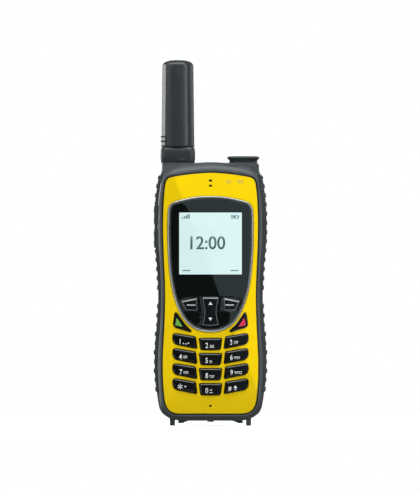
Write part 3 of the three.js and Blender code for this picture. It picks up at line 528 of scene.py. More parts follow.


# ------------------------------------------------------------------ printed marks and painted highlights, drawn as thin raised films
def inset(poly, d):
    """The outline drawn in by d, with the loops that tight corners would make drawn to a point."""
    pts, n = offset(poly, -d), len(poly)
    segs = [(Vector(poly[i]), Vector(poly[(i + 1) % n])) for i in range(n)]

    def gap(p):
        p, best = Vector(p), 1e9
        for a, b in segs:
            ab = b - a
            t = 0 if ab.length_squared < 1e-12 else min(1, max(0, (p - a).dot(ab) / ab.length_squared))
            best = min(best, (p - a - ab * t).length)
        return best

    ok = [gap(p) > 0.985 * d for p in pts]
    if all(ok) or sum(ok) < 6:
        return pts
    s0 = next(i for i in range(n) if ok[i] and ok[i - 1])
    i = s0 + 1
    while i < s0 + n:
        if ok[i % n]:
            i += 1
            continue
        j = i
        while not ok[j % n]:
            j += 1
        a, a0, b, b1 = (Vector(pts[k % n]) for k in (i - 1, i - 2, j, j + 1))
        u, v = a - a0, b - b1
        den = u.x * v.y - u.y * v.x
        x = (a + b) / 2
        if abs(den) > 1e-6:
            t = ((b - a).x * v.y - (b - a).y * v.x) / den
            if (u * t).length < 2 * (b - a).length + 0.05:
                x = a + u * t
        for k in range(i, j):
            pts[k % n] = (x.x, x.y)
        i = j
    return pts


def print_and_highlight(name, polys, y, body, mat, thick=0.03):
    """Marks standing thick proud of a face at y."""
    f = Form()
    for p in polys:
        if isinstance(p, dict) and len(p["out"]) == len(p["in"]):
            f.hoop([(p["out"], y - thick), (p["in"], y - thick), (p["in"], y + 0.02), (p["out"], y + 0.02)])
        elif isinstance(p, dict):
            f.solid([(p["out"], y - thick), (p["out"], y + 0.02)], holes=[[(p["in"], y - thick), (p["in"], y + 0.02)]])
        else:
            f.solid([(p, y - thick), (p, y + 0.02)])
    ob = f.object(name, mat, 40, False)
    if any(isinstance(p, dict) for p in polys):
        bm = bmesh.new(); bm.from_mesh(ob.data)
        bmesh.ops.remove_doubles(bm, verts=bm.verts, dist=2e-6)
        bmesh.ops.dissolve_degenerate(bm, edges=bm.edges, dist=1e-7)
        bmesh.ops.recalc_face_normals(bm, faces=bm.faces)
        if bm.calc_volume(signed=True) < 0:
            bmesh.ops.reverse_faces(bm, faces=bm.faces)
        bm.to_mesh(ob.data); bm.free()
    return show(ob, body, [])


def text(name, items, y, body, mat, thick=0.03):
    """items: (characters, x, z, height, width scale); the left end stands at x."""
    parts = []
    for chars, x, z, h, k in items:
        cu = bpy.data.curves.new(name, "FONT")
        cu.body = chars
        cu.size = 1.0
        cu.extrude = 0.0
        cu.resolution_u = 4
        cu.offset = 0.014
        ob = bpy.data.objects.new(name + "_t", cu)
        bpy.context.scene.collection.objects.link(ob)
        dg = bpy.context.evaluated_depsgraph_get()
        me = bpy.data.meshes.new_from_object(ob.evaluated_get(dg))
        bpy.data.objects.remove(ob)
        bm = bmesh.new(); bm.from_mesh(me)
        bmesh.ops.remove_doubles(bm, verts=bm.verts, dist=1e-5)
        top = max((v.co.y for v in bm.verts), default=1.0)
        left = min((v.co.x for v in bm.verts), default=0.0)
        low = min((v.co.y for v in bm.verts), default=0.0)
        s = h / max(top - min(low, 0.0), 1e-6)
        for v in bm.verts:
            v.co = Vector(((x + (v.co.x - left) * s * k) * MM, (y - thick) * MM, (z + v.co.y * s) * MM))
        geo = bmesh.ops.extrude_face_region(bm, geom=list(bm.faces))
        for v in [g for g in geo["geom"] if isinstance(g, bmesh.types.BMVert)]:
            v.co.y = (y + 0.02) * MM
        bmesh.ops.recalc_face_normals(bm, faces=bm.faces)
        bm.to_mesh(me); bm.free()
        parts.append(me)
    bm = bmesh.new()
    for me in parts:
        bm.from_mesh(me)
    me = bpy.data.meshes.new(name)
    bm.to_mesh(me); bm.free()
    me.materials.append(mat)
    ob = bpy.data.objects.new(name, me)
    bpy.context.scene.collection.objects.link(ob)
    return show(ob, body, [])


# ------------------------------------------------------------------ keys
def key_cap(name, poly, front=-13.47, bevel=0.62, drop=0.42, mats=None):
    p = densify(poly, 0.6)
    rings = [
        (offset(p, -bevel * 1.16), front), (offset(p, -bevel * 1.08), front + 0.012), (offset(p, -bevel), front + 0.05),
        (offset(p, -bevel * 0.26), front + 0.05 + bevel * 0.53), (offset(p, -bevel * 0.12), front + 0.07 + bevel * 0.68), (offset(p, -0.02), front + 0.1 + bevel),
        (p, front + 0.2 + bevel * 1.2), (p, -10.5)]
    f = Form().solid(rings)
    return show(f.object(name + "_fine", mats or KEY, 50), name, [name])


for k, p in KEYS.items():
    if k in ("call_key", "end_key"):
        key_cap(k, p, bevel=0.42, drop=0.34)
    else:
        key_cap(k, p)
for k, p in LENS_KEYS.items():
    key_cap(k, p, -13.42 if k == "nav_key" else -13.32, bevel=0.3, drop=0.3)

FRONT = -13.47
LETTERS = {"key_2": "ABC", "key_3": "DEF", "key_4": "GHI", "key_5": "JKL", "key_6": "MNO", "key_7": "PQRS", "key_8": "TUV", "key_9": "WXYZ"}
PLACES = {  # digit's left end and base line
    "key_1": (-16.2, 42.9), "key_4": (-16.6, 34.95), "key_7": (-16.4, 27.05),
    "key_2": (-2.7, 40.9), "key_5": (-2.7, 33.0), "key_8": (-2.7, 25.05), "key_0": (-2.7, 17.15),
    "key_3": (10.2, 42.6), "key_6": (10.3, 34.65), "key_9": (10.4, 26.75), "key_hash": (9.3, 18.5)}
for k, (x, z) in PLACES.items():
    hash_key = k == "key_hash"
    items = [("#" if hash_key else k[-1], x, z, 2.3 if hash_key else 2.75, 0.9 if hash_key else 0.84)]
    if k in LETTERS:
        items.append((LETTERS[k], x + 2.2, z + (0.1 if k in ("key_2", "key_5", "key_8") else 0.45), 1.5, 0.62))
    text(k + "_legend", items, FRONT, k, PRINT, 0.03)


def bar(cx, cz, length, width, angle):
    c, d = math.cos(angle), math.sin(angle)
    return [(cx + u * c - v * d, cz + u * d + v * c) for u, v in rect(-length / 2, length / 2, -width / 2, width / 2)]


# star, and small generic marks on the keys with no letters
print_and_highlight("key_star_legend", [bar(-15.95, 20.6, 2.9, 0.36, a) for a in (math.radians(90), math.radians(30), math.radians(150))], FRONT, "key_star", PRINT)
print_and_highlight("key_star_marks", [[(-13.9, 20.9), (-13.2, 20.15), (-12.5, 20.9)]], FRONT, "key_star", PRINT)
print_and_highlight("key_1_marks", [rect(-14.5, -13.9, 43.0, 43.6, 0.15, 3), rect(-13.5, -12.3, 42.9, 43.2), rect(-11.9, -11.3, 43.1, 43.7, 0.15, 3)], FRONT, "key_1", PRINT)
print_and_highlight("key_0_marks", [rect(-0.5, 1.1, 17.3, 17.6), bar(0.3, 18.8, 1.1, 0.3, 0), bar(0.3, 18.8, 1.1, 0.3, math.pi / 2)], FRONT, "key_0", PRINT)
print_and_highlight("key_hash_marks", [[(12.1, 19.9), (14.1, 19.9), (13.1, 21.2)], rect(12.75, 13.45, 18.7, 19.7)], FRONT, "key_hash", PRINT)


def thin_frame(poly, w):
    return {"out": poly, "in": offset(poly, -w)}


# grey lines round the lens keys: painted highlights on the key edges
for k, p in LENS_KEYS.items():
    line = densify(p, 0.6)
    print_and_highlight(k + "_outline", [{"out": inset(line, 0.36), "in": inset(line, 0.6)}], -13.42 if k == "nav_key" else -13.32, k, KEY_EDGE_HIGHLIGHT, 0.02)
for side, k in ((1, "softkey_left"), (-1, "softkey_right")):
    m = lambda pts: ccw([(x * side, z) for x, z in pts])
    y = -13.32
    # the bar along the key's top edge is a painted highlight on its top chamfer; the dash below it is a printed mark
    print_and_highlight(k + "_bar", [m([(-15.1, 65.55), (-14.85, 64.95), (-7.4, 66.35), (-7.3, 67.15)])], y, k, KEY_MARK_AND_HIGHLIGHT, 0.03)
    print_and_highlight(k + "_dash", [m(rect(-12.4, -7.9, 63.15, 63.85, 0.15, 3))], y, k, KEY_MARK_AND_HIGHLIGHT, 0.03)
y = -13.42
# the bar along the nav key's top edge is a painted highlight on its top chamfer
print_and_highlight("nav_key_bar", [rect(-3.95, 3.95, 66.85, 67.45, 0.15, 3)], y, "nav_key", KEY_MARK_AND_HIGHLIGHT, 0.03)
print_and_highlight("nav_key_arrows", [[(-1.0, 63.6), (1.0, 63.6), (0, 65.3)], [(-1.0, 56.8), (0, 55.2), (1.0, 56.8)]], y, "nav_key", PRINT, 0.03)
mark = rounded([(-17.75, 56.9, 0.5), (-18.65, 52.9, 0.5), (-14.6, 52.0, 0.5)], 5)
print_and_highlight("call_key_mark", [mark], FRONT, "call_key", GREEN, 0.03)
print_and_highlight("end_key_mark", [mirror(mark)], FRONT, "end_key", RED, 0.03)

# faint icons at the top of the faceplate, and the picture on the display
y = PLATE_FRONT
print_and_highlight("plate_icons", [
    {"out": circle(9.5, 128.4, 0.95, 24), "in": circle(9.5, 128.4, 0.55, 24)},
    rect(9.3, 9.7, 126.9, 127.5), rect(9.3, 9.7, 129.3, 129.9), rect(8.0, 8.6, 128.2, 128.6), rect(10.4, 11.0, 128.2, 128.6),
    rect(14.2, 15.5, 127.7, 128.3), rect(14.2, 15.5, 128.6, 129.2), rect(15.9, 17.2, 127.7, 128.3), rect(15.9, 17.2, 128.6, 129.2)],
    y, "housing", ICON, 0.03)
y = -12.88
text("display_clock", [("12:00", -10.6, 93.0, 7.0, 0.95)], y, "housing", INK, 0.02)
bars = [rect(-15.0 + i * 1.1, -14.3 + i * 1.1, 109.0, 109.7 + i * 0.55) for i in range(4)]
batt = [{"out": rect(10.9, 14.6, 109.0, 110.9), "in": rect(11.2, 14.3, 109.3, 110.6)}, rect(14.6, 15.0, 109.5, 110.4), rect(11.5, 13.4, 109.6, 110.3)]
soft = [rect(-14.8, -10.6, 81.4, 81.9), rect(10.6, 14.8, 81.4, 81.9)]
print_and_highlight("display_icons", [*bars, *batt, *soft], y, "housing", INK, 0.02)

# ------------------------------------------------------------------ rear housing
def prism(poly, w0, w1, place=ALONG_Y, name="cutter"):
    return Form().solid([(poly, w0), (poly, w1)], place).object(name, [], 30, False)


rings = [(offset(silhouette, -0.25), SPLIT), (offset(silhouette, -0.07), SPLIT + 0.07), (silhouette, SPLIT + 0.25), (silhouette, 9.4)]
for k in range(1, 11):
    a = math.pi / 2 * k / 10
    rings.append((drawn_in(silhouette, 3.4 * (1 - math.cos(a))), 9.4 + 4.1 * math.sin(a)))
rear = Form().solid(rings).object("rear_housing_fine", HOUSING, 30, False)
FOOT = rounded([(18.75, 6, 0), (18.75, 0, 0.45), (21.35, 0, 0.45), (21.7, 6, 0)], 5)
SKIRT = ccw([(11.3, 4), (11.6, 2.5), (14.6, 1.25), (15.2, 1.15), (16.8, 1.15), (17.05, 1.4), (17.05, 4)])
for p in (FOOT, mirror(FOOT)):
    boolean(rear, prism(p, -4.4, 11.4), "UNION")
for p in (SKIRT, mirror(SKIRT)):
    boolean(rear, prism(p, -3.6, 10.6), "UNION")
boolean(rear, prism(rect(-40, BAY_X, FLOOR_Y, 30, 0.0), BAY_Z, 160, ALONG_Z), "DIFFERENCE")


def side_line():
    """Right-hand half widths of the shell against height, for the side grips."""
    r = sorted((z, x) for x, z in silhouette if x > 24 and 14 < z < 135)
    return r


SIDE = side_line()


def side_at(z):
    for (z0, x0), (z1, x1) in zip(SIDE, SIDE[1:]):
        if z0 <= z <= z1:
            return x0 + (x1 - x0) * (z - z0) / (z1 - z0)
    return SIDE[0][1] if z < SIDE[0][0] else SIDE[-1][1]


GRIP_Z = (17.2, 131.9)
STEPS = 40
inner = [(side_at(GRIP_Z[0] + (GRIP_Z[1] - GRIP_Z[0]) * i / STEPS) - 1.8, GRIP_Z[0] + (GRIP_Z[1] - GRIP_Z[0]) * i / STEPS) for i in range(STEPS + 1)]
recess = ccw([(inner[0][0], GRIP_Z[0] - 0.2), *inner, (inner[-1][0], GRIP_Z[1] + 0.2), (34, GRIP_Z[1] + 0.2), (34, GRIP_Z[0] - 0.2)])
boolean(rear, prism(recess, SPLIT - 1, 9.15), "DIFFERENCE")
boolean(rear, prism(mirror(recess), SPLIT - 1, 9.15), "DIFFERENCE")
boolean(rear, prism(rect(-24.0, 24.0, 8.0, 78.0, 2.3), 2.8, 20), "DIFFERENCE")
boolean(rear, prism(rect(ANT_X - 1.5, ANT_X + 1.5, -0.9, FLOOR_Y + 1), BAY_Z + 0.2, 160, ALONG_Z), "DIFFERENCE")
boolean(rear, prism(rect(ANT_X - 2.6, ANT_X + 2.6, -1.7, -0.4), BAY_Z + 0.2, 160, ALONG_Z), "DIFFERENCE")
boolean(rear, prism(circle(SOS_X, SOS_Y, 4.6, 64), 131, 141, ALONG_Z), "DIFFERENCE")
boolean(rear, prism(rect(-3.6, 3.6, 1.2, 6.6, 1.6), 131, 142, ALONG_Z), "DIFFERENCE")
for x in (12.2, 21.0):
    ear = rounded([(HINGE[0] - 1.0, 135.6, 0), (HINGE[0] + 0.6, 135.0, 0), (HINGE[0] + 0.9, HINGE[1] + 1, 0.9), (HINGE[0] - 0.9, HINGE[1] + 1, 0.9)], 6)
    boolean(rear, prism(ear, x, x + 1.4, ALONG_X), "UNION")
boolean(rear, prism(circle(HINGE[0], HINGE[1], 0.72, 20), 10, 24, ALONG_X), "DIFFERENCE")
boolean(rear, prism(rect(-11.4, 11.4, -2.6, 8.0), 1, 6.9, ALONG_Z), "DIFFERENCE")
boolean(rear, prism(rect(-11.4, 11.4, 6.0, 8.9), 1, 4.0, ALONG_Z), "DIFFERENCE")
for z0, z1 in ((93.4, 103.9), (105.5, 116.0)):
    boolean(rear, prism(rect(-3.6, -0.7, z0, z1, 0.9, 4), -32, -24, ALONG_X), "DIFFERENCE")
boolean(rear, prism(rect(3.6, 17.4, 79.6, 90.2, 0.8), 11.9, 20), "DIFFERENCE")
cut = Form()
for i in range(3):
    for j in range(5):
        cut.solid([(rect(4.0 + j * 3.0, 5.3 + j * 3.0, 104 + i * 4.2, 107 + i * 4.2, 0.6, 4), 11.0), (rect(4.0 + j * 3.0, 5.3 + j * 3.0, 104 + i * 4.2, 107 + i * 4.2, 0.6, 4), 15)])
boolean(rear, cut.object("cutter", [], 30, False), "DIFFERENCE")
cut = Form()
for x, z in ((-20.2, 14.5), (20.2, 14.5), (-19.6, 72.0), (19.6, 72.0)):
    cut.solid([(circle(x, z, 2.4, 32), 0.9), (circle(x, z, 2.4, 32), 4)])
boolean(rear, cut.object("cutter", [], 30, False), "DIFFERENCE")
bev = rear.modifiers.new("bevel", "BEVEL")
bev.limit_method, bev.angle_limit, bev.width, bev.segments = "ANGLE", math.radians(40), 0.22 * MM, 2
bev.use_clamp_overlap = True
bev.harden_normals = False
apply_modifiers(rear)
for p in rear.data.polygons:
    p.material_index = 0
if not rear.data.materials:
    rear.data.materials.append(HOUSING)
shade(rear, 35)
show(rear, "housing", ["rear_housing"])


# ------------------------------------------------------------------ side grips with a diamond tread
# height of each rib of the tread, bottom to top, mm
RIBS = [0.62, 0.5, 0.78, 0.45, 0.7, 0.42, 0.74, 0.46, 0.74, 0.55, 0.0, 0.58, 0.66, 0.66, 0.6, 0.58, 0.5, 0.5, 0.64, 0.6, 0.58, 0.6, 0.66, 0.6]


def tread(z, y):
    """Height of the tread in mm at height z and depth y: rows of raised lozenges, lower ones set between."""
    best = 0.0
    pitch = 4.87
    for c, yc in enumerate((-2.9, 0.2, 3.3, 6.4)):
        for r in (-1, 0, 1):
            i = round((z - 19.1) / pitch) + r
            if not 0 <= i < len(RIBS):
                continue
            high = c % 2 == 0
            zc = 19.1 + pitch * i + (0.0 if high else pitch / 2)
            if not high and (i >= 9 and i <= 10 or i == len(RIBS) - 1):
                continue
            top = RIBS[i] if high else 0.16
            u = abs(z - zc) / (1.3 if high else 1.15)
            v = abs(y - yc) / (2.0 if high else 1.7)
            q = (u ** 2.2 + v ** 2.2)
            best = max(best, top * min(1.0, max(0.0, 1.0 - q) * 3.2))
    return best


def grip(side):
    f = Form()
    z0, z1 = GRIP_Z
    y0, y1 = SPLIT + 0.1, 9.0
    nz, ny = 460, 48
    notch = side < 0
    idx = {}
    vol = [(93.4, 103.9), (105.5, 116.0)] if side < 0 else []
    rows = [z0 + (z1 - z0) * i / nz for i in range(nz + 1)]
    if notch:
        rows = sorted(set(rows + [BAY_Z - 0.35]))
    grid = []
    for z in rows:
        yb = FLOOR_Y - 0.1 if notch and z > BAY_Z - 0.4 else y1
        row = []
        for j in range(ny + 1):
            y = y0 + (yb - y0) * j / ny
            e = min(z - z0, z1 - z, y - y0 + 0.35, yb - y)
            h = min(tread(z, y), 29.93 - side_at(z)) - max(0.0, 0.5 - e) ** 2 * 1.6
            for a, b in vol:
                d = max(a - 0.5 - z, z - b - 0.5, -4.1 - y, y + 0.2)
                if d < 0.7:
                    h = min(h, max(0.0, d) / 0.7 * tread(z, y))
            row.append(f.ring([(side * (side_at(z) + h), z)], y, ALONG_Y)[0])
        grid.append(row)
    back = []
    for z in rows:
        yb = FLOOR_Y - 0.1 if notch and z > BAY_Z - 0.4 else y1
        back.append([f.ring([(side * (side_at(z) - 1.6), z)], y, ALONG_Y)[0] for y in (y0, yb)])
    n = len(rows)
    for i in range(n - 1):
        for j in range(ny):
            f.f.append((grid[i][j], grid[i][j + 1], grid[i + 1][j + 1], grid[i + 1][j])); f.m.append(0)
        f.f.append((back[i][0], back[i][1], back[i + 1][1], back[i + 1][0])); f.m.append(0)
        f.f.append((grid[i][0], back[i][0], back[i + 1][0], grid[i + 1][0])); f.m.append(0)
        f.f.append((grid[i][ny], back[i][1], back[i + 1][1], grid[i + 1][ny])); f.m.append(0)
    for i in (0, n - 1):
        f.f.append(tuple(grid[i]) + (back[i][1], back[i][0])); f.m.append(0)
    name = "side_grip_left" if side < 0 else "side_grip_right"
    ob = f.object(name + "_fine", RUBBER, 55, False)
    if vol:
        for a, b in vol:
            boolean(ob, prism(rect(-3.6, -0.7, a, b, 0.9, 4), -32, -24, ALONG_X), "DIFFERENCE")
        shade(ob, 55, False)
        if not ob.data.materials:
            ob.data.materials.append(RUBBER)
        for p in ob.data.polygons:
            p.material_index = 0
    return show(ob, "housing", [name])


grip(1)
grip(-1)

for name, a, b in (("volume_down", 93.65, 103.65), ("volume_up", 105.75, 115.75)):
    ring = rect(-3.35, -0.95, a, b, 0.8, 6)
    f = Form().solid([*rounding(ring, -29.75, 0.35), (ring, -29.0), (ring, -25.0)], ALONG_X)
    for zc in (a + 2.6, b - 2.6):
        bump = rect(-3.0, -1.3, zc - 1.0, zc + 1.0, 0.7, 5)
        f.solid([(offset(bump, -0.3), -29.9), (offset(bump, -0.1), -29.84), (bump, -29.7), (bump, -29.5)], ALONG_X)
    show(f.object(name + "_fine", RUBBER, 50), name, [name])

# ------------------------------------------------------------------ antenna
def chamfer(w, d, seg=6):
    a, b = w / 2, d / 2
    return rounded([
        (ANT_X - a, ANT_Y - b + 4.6, 0.6), (ANT_X - a + 2.0, ANT_Y - b + 1.2, 0.5), (ANT_X - 3.0, ANT_Y - b + 0.22, 1.8), (ANT_X + 0.6, ANT_Y - b, 1.6),
        (ANT_X + 4.2, ANT_Y - b + 0.4, 1.8), (ANT_X + a - 1.8, ANT_Y - b + 2.0, 1.6), (ANT_X + a, ANT_Y - b + 4.4, 1.2),
        (ANT_X + a, ANT_Y + b - 3.4, 2.3), (ANT_X + a - 3.4, ANT_Y + b, 2.3), (ANT_X - a + 3.4, ANT_Y + b, 2.3), (ANT_X - a, ANT_Y + b - 3.4, 2.3)], seg)


c_low, c_top = chamfer(17.3, 12.4), chamfer(16.35, 11.8)
rings = [(circle(ANT_X, ANT_Y, 5.0, len(c_low)), 188.0)]
# walk the bore so that its points line up with the section's
bore = []
for u, v in c_low:
    a = math.atan2(v - ANT_Y, u - ANT_X)
    bore.append((ANT_X + 5.0 * math.cos(a), ANT_Y + 5.0 * math.sin(a)))
outer = [(scaled(c_low, 0.975, ANT_X, ANT_Y), 147.2), (scaled(c_low, 0.985, ANT_X, ANT_Y), 147.35), (c_low, 147.6)]
levels = 14
for k in range(1, levels + 1):
    t = k / levels
    outer.append((mix(c_low, c_top, t), 147.6 + (189.4 - 147.6) * t))
for k, z in ((0.992, 189.8), (0.972, 190.3), (0.94, 190.75), (0.89, 191.2), (0.82, 191.6), (0.73, 192.0), (0.62, 192.28), (0.5, 192.48), (0.35, 192.62), (0.18, 192.69)):
    outer.append((scaled(c_top, k, ANT_X, ANT_Y), z))
f = Form()
stack = [f.ring(p, w, ALONG_Z) for p, w in [(bore, 188.0), (bore, 147.2)] + outer]
for a, b in zip(stack, stack[1:]):
    f.bridge(a, b)
f.cap([stack[0]]); f.cap([stack[-1]])
mast = f.object("antenna_mast_fine", ANTENNA, 28, False)
def low_ring(d):
    return [(x, min(y, BACK - 0.05)) for x, y in offset(c_low, d)]


joint = Form().solid([(low_ring(-0.6), 146.98), (low_ring(0.22), 147.06), (low_ring(0.3), 147.2), (low_ring(0.3), 147.45), (low_ring(0.05), 147.62)], ALONG_Z)
show(joint.object("antenna_joint_ring", SEAL_AND_GAP_SHADE, 40), "antenna_head", [])
ridges = []
for z in (149.4, 151.8):
    for side, reach in ((-1, 2.6), (1, 3.3)):
        x0, x1 = sorted((ANT_X + side * (8.65 - reach), ANT_X + side * 11.0))
        rib = Form().solid([(offset(c_low, 0.2), z - 0.05), (offset(c_low, 0.48), z + 0.1), (offset(c_low, 0.48), z + 0.6), (offset(c_low, 0.1), z + 0.8)], ALONG_Z).object("antenna_ridge_%d" % len(ridges), [], 30, False)
        boolean(rib, prism([(x0, z - 0.5), (x1, z - 0.5), (x1, z + 1.5), (x0, z + 1.5)], -1.0, ANT_Y + 5.4), "INTERSECT")
        boolean(rib, Form().solid([(offset(c_low, -0.5), z - 1), (offset(c_low, -0.5), z + 2)], ALONG_Z).object("cutter", [], 30, False), "DIFFERENCE")
        rib.data.materials.clear()
        rib.data.materials.append(SEAL_AND_GAP_SHADE)
        for q in rib.data.polygons:
            q.material_index = 0
        shade(rib, 35)
        show(rib, "antenna_head", [])
        ridges.append(rib)
for p in mast.data.polygons:
    p.material_index = 0
if not mast.data.materials:
    mast.data.materials.append(ANTENNA)
shade(mast, 28)
show(mast, "antenna_head", ["antenna_mast"])


def knuckle_ring(w, d, r=3.2):
    return rect(ANT_X - w / 2, ANT_X + w / 2, ANT_Y - d / 2, ANT_Y + d / 2, r, 8)


f = Form().solid([
    (knuckle_ring(14.4, 9.4), 137.3), (knuckle_ring(15.6, 10.5), 137.42), (knuckle_ring(16.7, 11.3), 137.8), (knuckle_ring(17.4, 11.9), 138.4), (knuckle_ring(17.85, 12.25), 139.2),
    (knuckle_ring(18.1, 12.5), 140.2), (knuckle_ring(18.2, 12.6), 141.4), (knuckle_ring(18.2, 12.55), 142.6), (knuckle_ring(18.15, 12.35), 143.8), (knuckle_ring(18.0, 12.0), 144.8),
    (knuckle_ring(17.8, 11.55), 145.6), (knuckle_ring(17.4, 10.9), 146.3), (knuckle_ring(16.8, 10.1), 146.8), (knuckle_ring(16.0, 9.2), 147.1)], ALONG_Z)
knuckle = f.object("antenna_knuckle_fine", KNUCKLE, 40, False)
slot = ccw([(ANT_X + x, PIVOT_Z + z) for x, z in [(3.6, -6), (3.6, 0), (3.33, 1.38), (2.55, 2.55), (1.38, 3.33), (0, 3.6), (-1.38, 3.33), (-2.55, 2.55), (-11.1, -6)]])
boolean(knuckle, prism(slot, ANT_Y - 2.3, ANT_Y + 2.3), "DIFFERENCE")
for p in knuckle.data.polygons:
    p.material_index = 0
if not knuckle.data.materials:
    knuckle.data.materials.append(KNUCKLE)
shade(knuckle, 40)
show(knuckle, "antenna_head", ["antenna_knuckle"])

print_and_highlight("antenna_knuckle_mark", [[(ANT_X + 1.1, 139.9), (ANT_X + 2.5, 139.9), (ANT_X + 1.8, 141.0)], rect(ANT_X + 3.1, ANT_X + 3.5, 139.9, 140.8)], ANT_Y - 6.28, "antenna_head", KNUCKLE_MARK, 0.02)
base = rect(ANT_X - 8.9, ANT_X + 8.9, ANT_Y - 6.1, ANT_Y + 6.1, 2.0)
f = Form().solid([*rounding(base, 126.6, 0.4), (base, 131.8), *reversed(rounding(base, 132.2, 0.4, sign=-1))], ALONG_Z)
f.solid([(rect(ANT_X - 1.2, ANT_X + 1.2, -1.0, ANT_Y - 5), 126.6 + 0.02), (rect(ANT_X - 1.2, ANT_X + 1.2, -1.0, ANT_Y - 5), 132.18)], ALONG_Z)
f.solid([(rect(ANT_X - 2.3, ANT_X + 2.3, -1.45, -0.65), 126.62), (rect(ANT_X - 2.3, ANT_X + 2.3, -1.45, -0.65), 132.18)], ALONG_Z)
tongue = [(ANT_X - 3.2, 131.5), (ANT_X + 3.2, 131.5)] + [(ANT_X + 3.2 * math.cos(a * math.pi / 24), PIVOT_Z + 3.2 * math.sin(a * math.pi / 24)) for a in range(25)]
f.solid([(offset(tongue, -0.25), ANT_Y - 1.95), (tongue, ANT_Y - 1.7), (tongue, ANT_Y + 1.7), (offset(tongue, -0.25), ANT_Y + 1.95)])
show(f.object("antenna_carriage_fine", KNUCKLE, 40), "antenna_carriage", ["antenna_carriage"])
f = Form().solid([*rounding(circle(ANT_X, PIVOT_Z, 1.15, 36), 3.5, 0.15), *reversed(rounding(circle(ANT_X, PIVOT_Z, 1.15, 36), 10.7, 0.15, sign=-1))])
show(f.object("antenna_pivot_pin_fine", STEEL, 40), "antenna_carriage", ["antenna_pivot_pin"])

# ------------------------------------------------------------------ emergency button, cover, power button
def cap_ring(d):
    return rect(SOS_X - 7.35 - d, SOS_X + 7.35 + d, SOS_Y - 6.0 - d, SOS_Y + 6.0 + d, min(4.4, 0.97 * (6.0 + d)), 10)


hollow = circle(SOS_X, SOS_Y, 5.0, 48)
outer = [(cap_ring(0.05), 138.47), (cap_ring(0.12), 138.6), (cap_ring(0.12), 139.0), (cap_ring(-0.06), 139.08), (cap_ring(-0.06), 139.3), (cap_ring(0.1), 139.75), (cap_ring(0.45), 140.15), (cap_ring(0.85), 140.5),
         (cap_ring(1.05), 140.8), (cap_ring(1.1), 141.1), (cap_ring(1.02), 141.4), (cap_ring(0.8), 141.62), (cap_ring(0.4), 141.8), (cap_ring(-0.6), 141.93), (cap_ring(-2.2), 141.96), (cap_ring(-3.6), 141.97)]
f = Form()
s = [f.ring(p, w, ALONG_Z) for p, w in outer]
for a, b in zip(s, s[1:]):
    f.bridge(a, b)
h = [f.ring(hollow, 138.47, ALONG_Z), f.ring(hollow, 140.5, ALONG_Z)]
f.bridge(*h); f.cap([h[1]]); f.cap([s[-1]])
f.cap([s[0], h[0]])
knob = rounded([(10.0, 138.9, 0), (HINGE[0] - 1.0, 138.0, 0.4), (HINGE[0] + 0.8, 137.9, 0.5), (HINGE[0] + 0.8, 140.0, 0.5), (10.6, 141.0, 0)], 5)
f.solid([(offset(knob, -0.12), 13.9), (knob, 14.02), (knob, 20.58), (offset(knob, -0.12), 20.7)], ALONG_X)
show(f.object("sos_cover_fine", ANTENNA, 35), "sos_cover", ["sos_cover"])
f = Form().solid([(circle(SOS_X, SOS_Y, 4.3, 48), 132.8), (circle(SOS_X, SOS_Y, 4.3, 48), 138.7), (circle(SOS_X, SOS_Y, 4.15, 48), 139.05),
                  (circle(SOS_X, SOS_Y, 3.8, 48), 139.3), (circle(SOS_X, SOS_Y, 3.0, 48), 139.52), (circle(SOS_X, SOS_Y, 1.6, 48), 139.6)], ALONG_Z)
show(f.object("sos_button_fine", SOS_RED, 40), "sos_button", ["sos_button"])
f = Form().solid([*rounding(circle(HINGE[0], HINGE[1], 0.55, 28), 12.3, 0.12), *reversed(rounding(circle(HINGE[0], HINGE[1], 0.55, 28), 22.3, 0.12, sign=-1))], ALONG_X)
show(f.object("sos_hinge_pin_fine", STEEL, 40), "housing", ["sos_hinge_pin"])
pw = rect(-3.35, 3.35, 1.45, 6.35, 1.5)
f = Form().solid([(pw, 130.5), *reversed(rounding(pw, 138.28, 0.4, sign=-1))], ALONG_Z)
show(f.object("power_button_fine", KEY, 40), "power_button", ["power_button"])
ring_out, ring_in = circle(0, 3.9, 1.25, 36), circle(0, 3.9, 0.95, 36)
f = Form().solid([(ring_out, 138.26), (ring_out, 138.3)], ALONG_Z, holes=[[(ring_in, 138.26), (ring_in, 138.3)]])
f.solid([(rect(-0.16, 0.16, 3.9, 5.5), 138.26), (rect(-0.16, 0.16, 3.9, 5.5), 138.301)], ALONG_Z)
show(f.object("power_button_mark", PRINT, 40, False), "power_button", [])

# ------------------------------------------------------------------ battery pack and latch
pack = rect(-23.7, 23.7, 8.3, 77.7, 2.2, 10)
pocket = rect(-22.2, 22.2, 9.8, 76.2, 1.0, 4)
f = Form().solid([*rounding(pack, BACK, 0.8, sign=-1), (pack, 4.6)], holes=[])
# recessed panel and finger ribs on the back of the pack
battery = f.object("battery_cover_fine", BATTERY, 35, False)
boolean(battery, prism(pocket, 0, 12.2), "DIFFERENCE")
panel = rect(-18.5, 18.5, 14.0, 62.0, 2.5, 6)
boolean(battery, Form().solid([(offset(panel, 0.35), 13.6), (panel, 13.2), (panel, 13.15)]).object("cutter", [], 30, False), "DIFFERENCE")
cut = Form()
for i in range(5):
    z = 66.2 + i * 1.9
    cut.solid([(rect(-12, 12, z, z + 0.9, 0.4, 4), 13.1), (rect(-12, 12, z, z + 0.9, 0.4, 4), 14)])
boolean(battery, cut.object("cutter", [], 30, False), "DIFFERENCE")
for p in battery.data.polygons:
    p.material_index = 0
if not battery.data.materials:
    battery.data.materials.append(BATTERY)
shade(battery, 35)
show(battery, "battery_pack", ["battery_cover"])
lt = rect(4.0, 17.0, 80.0, 87.6, 0.8, 6)
f = Form().solid([*rounding(lt, 13.3, 0.35, sign=-1), (lt, 12.1)])
latch = f.object("battery_latch_fine", RUBBER, 35, False)
cut = Form()
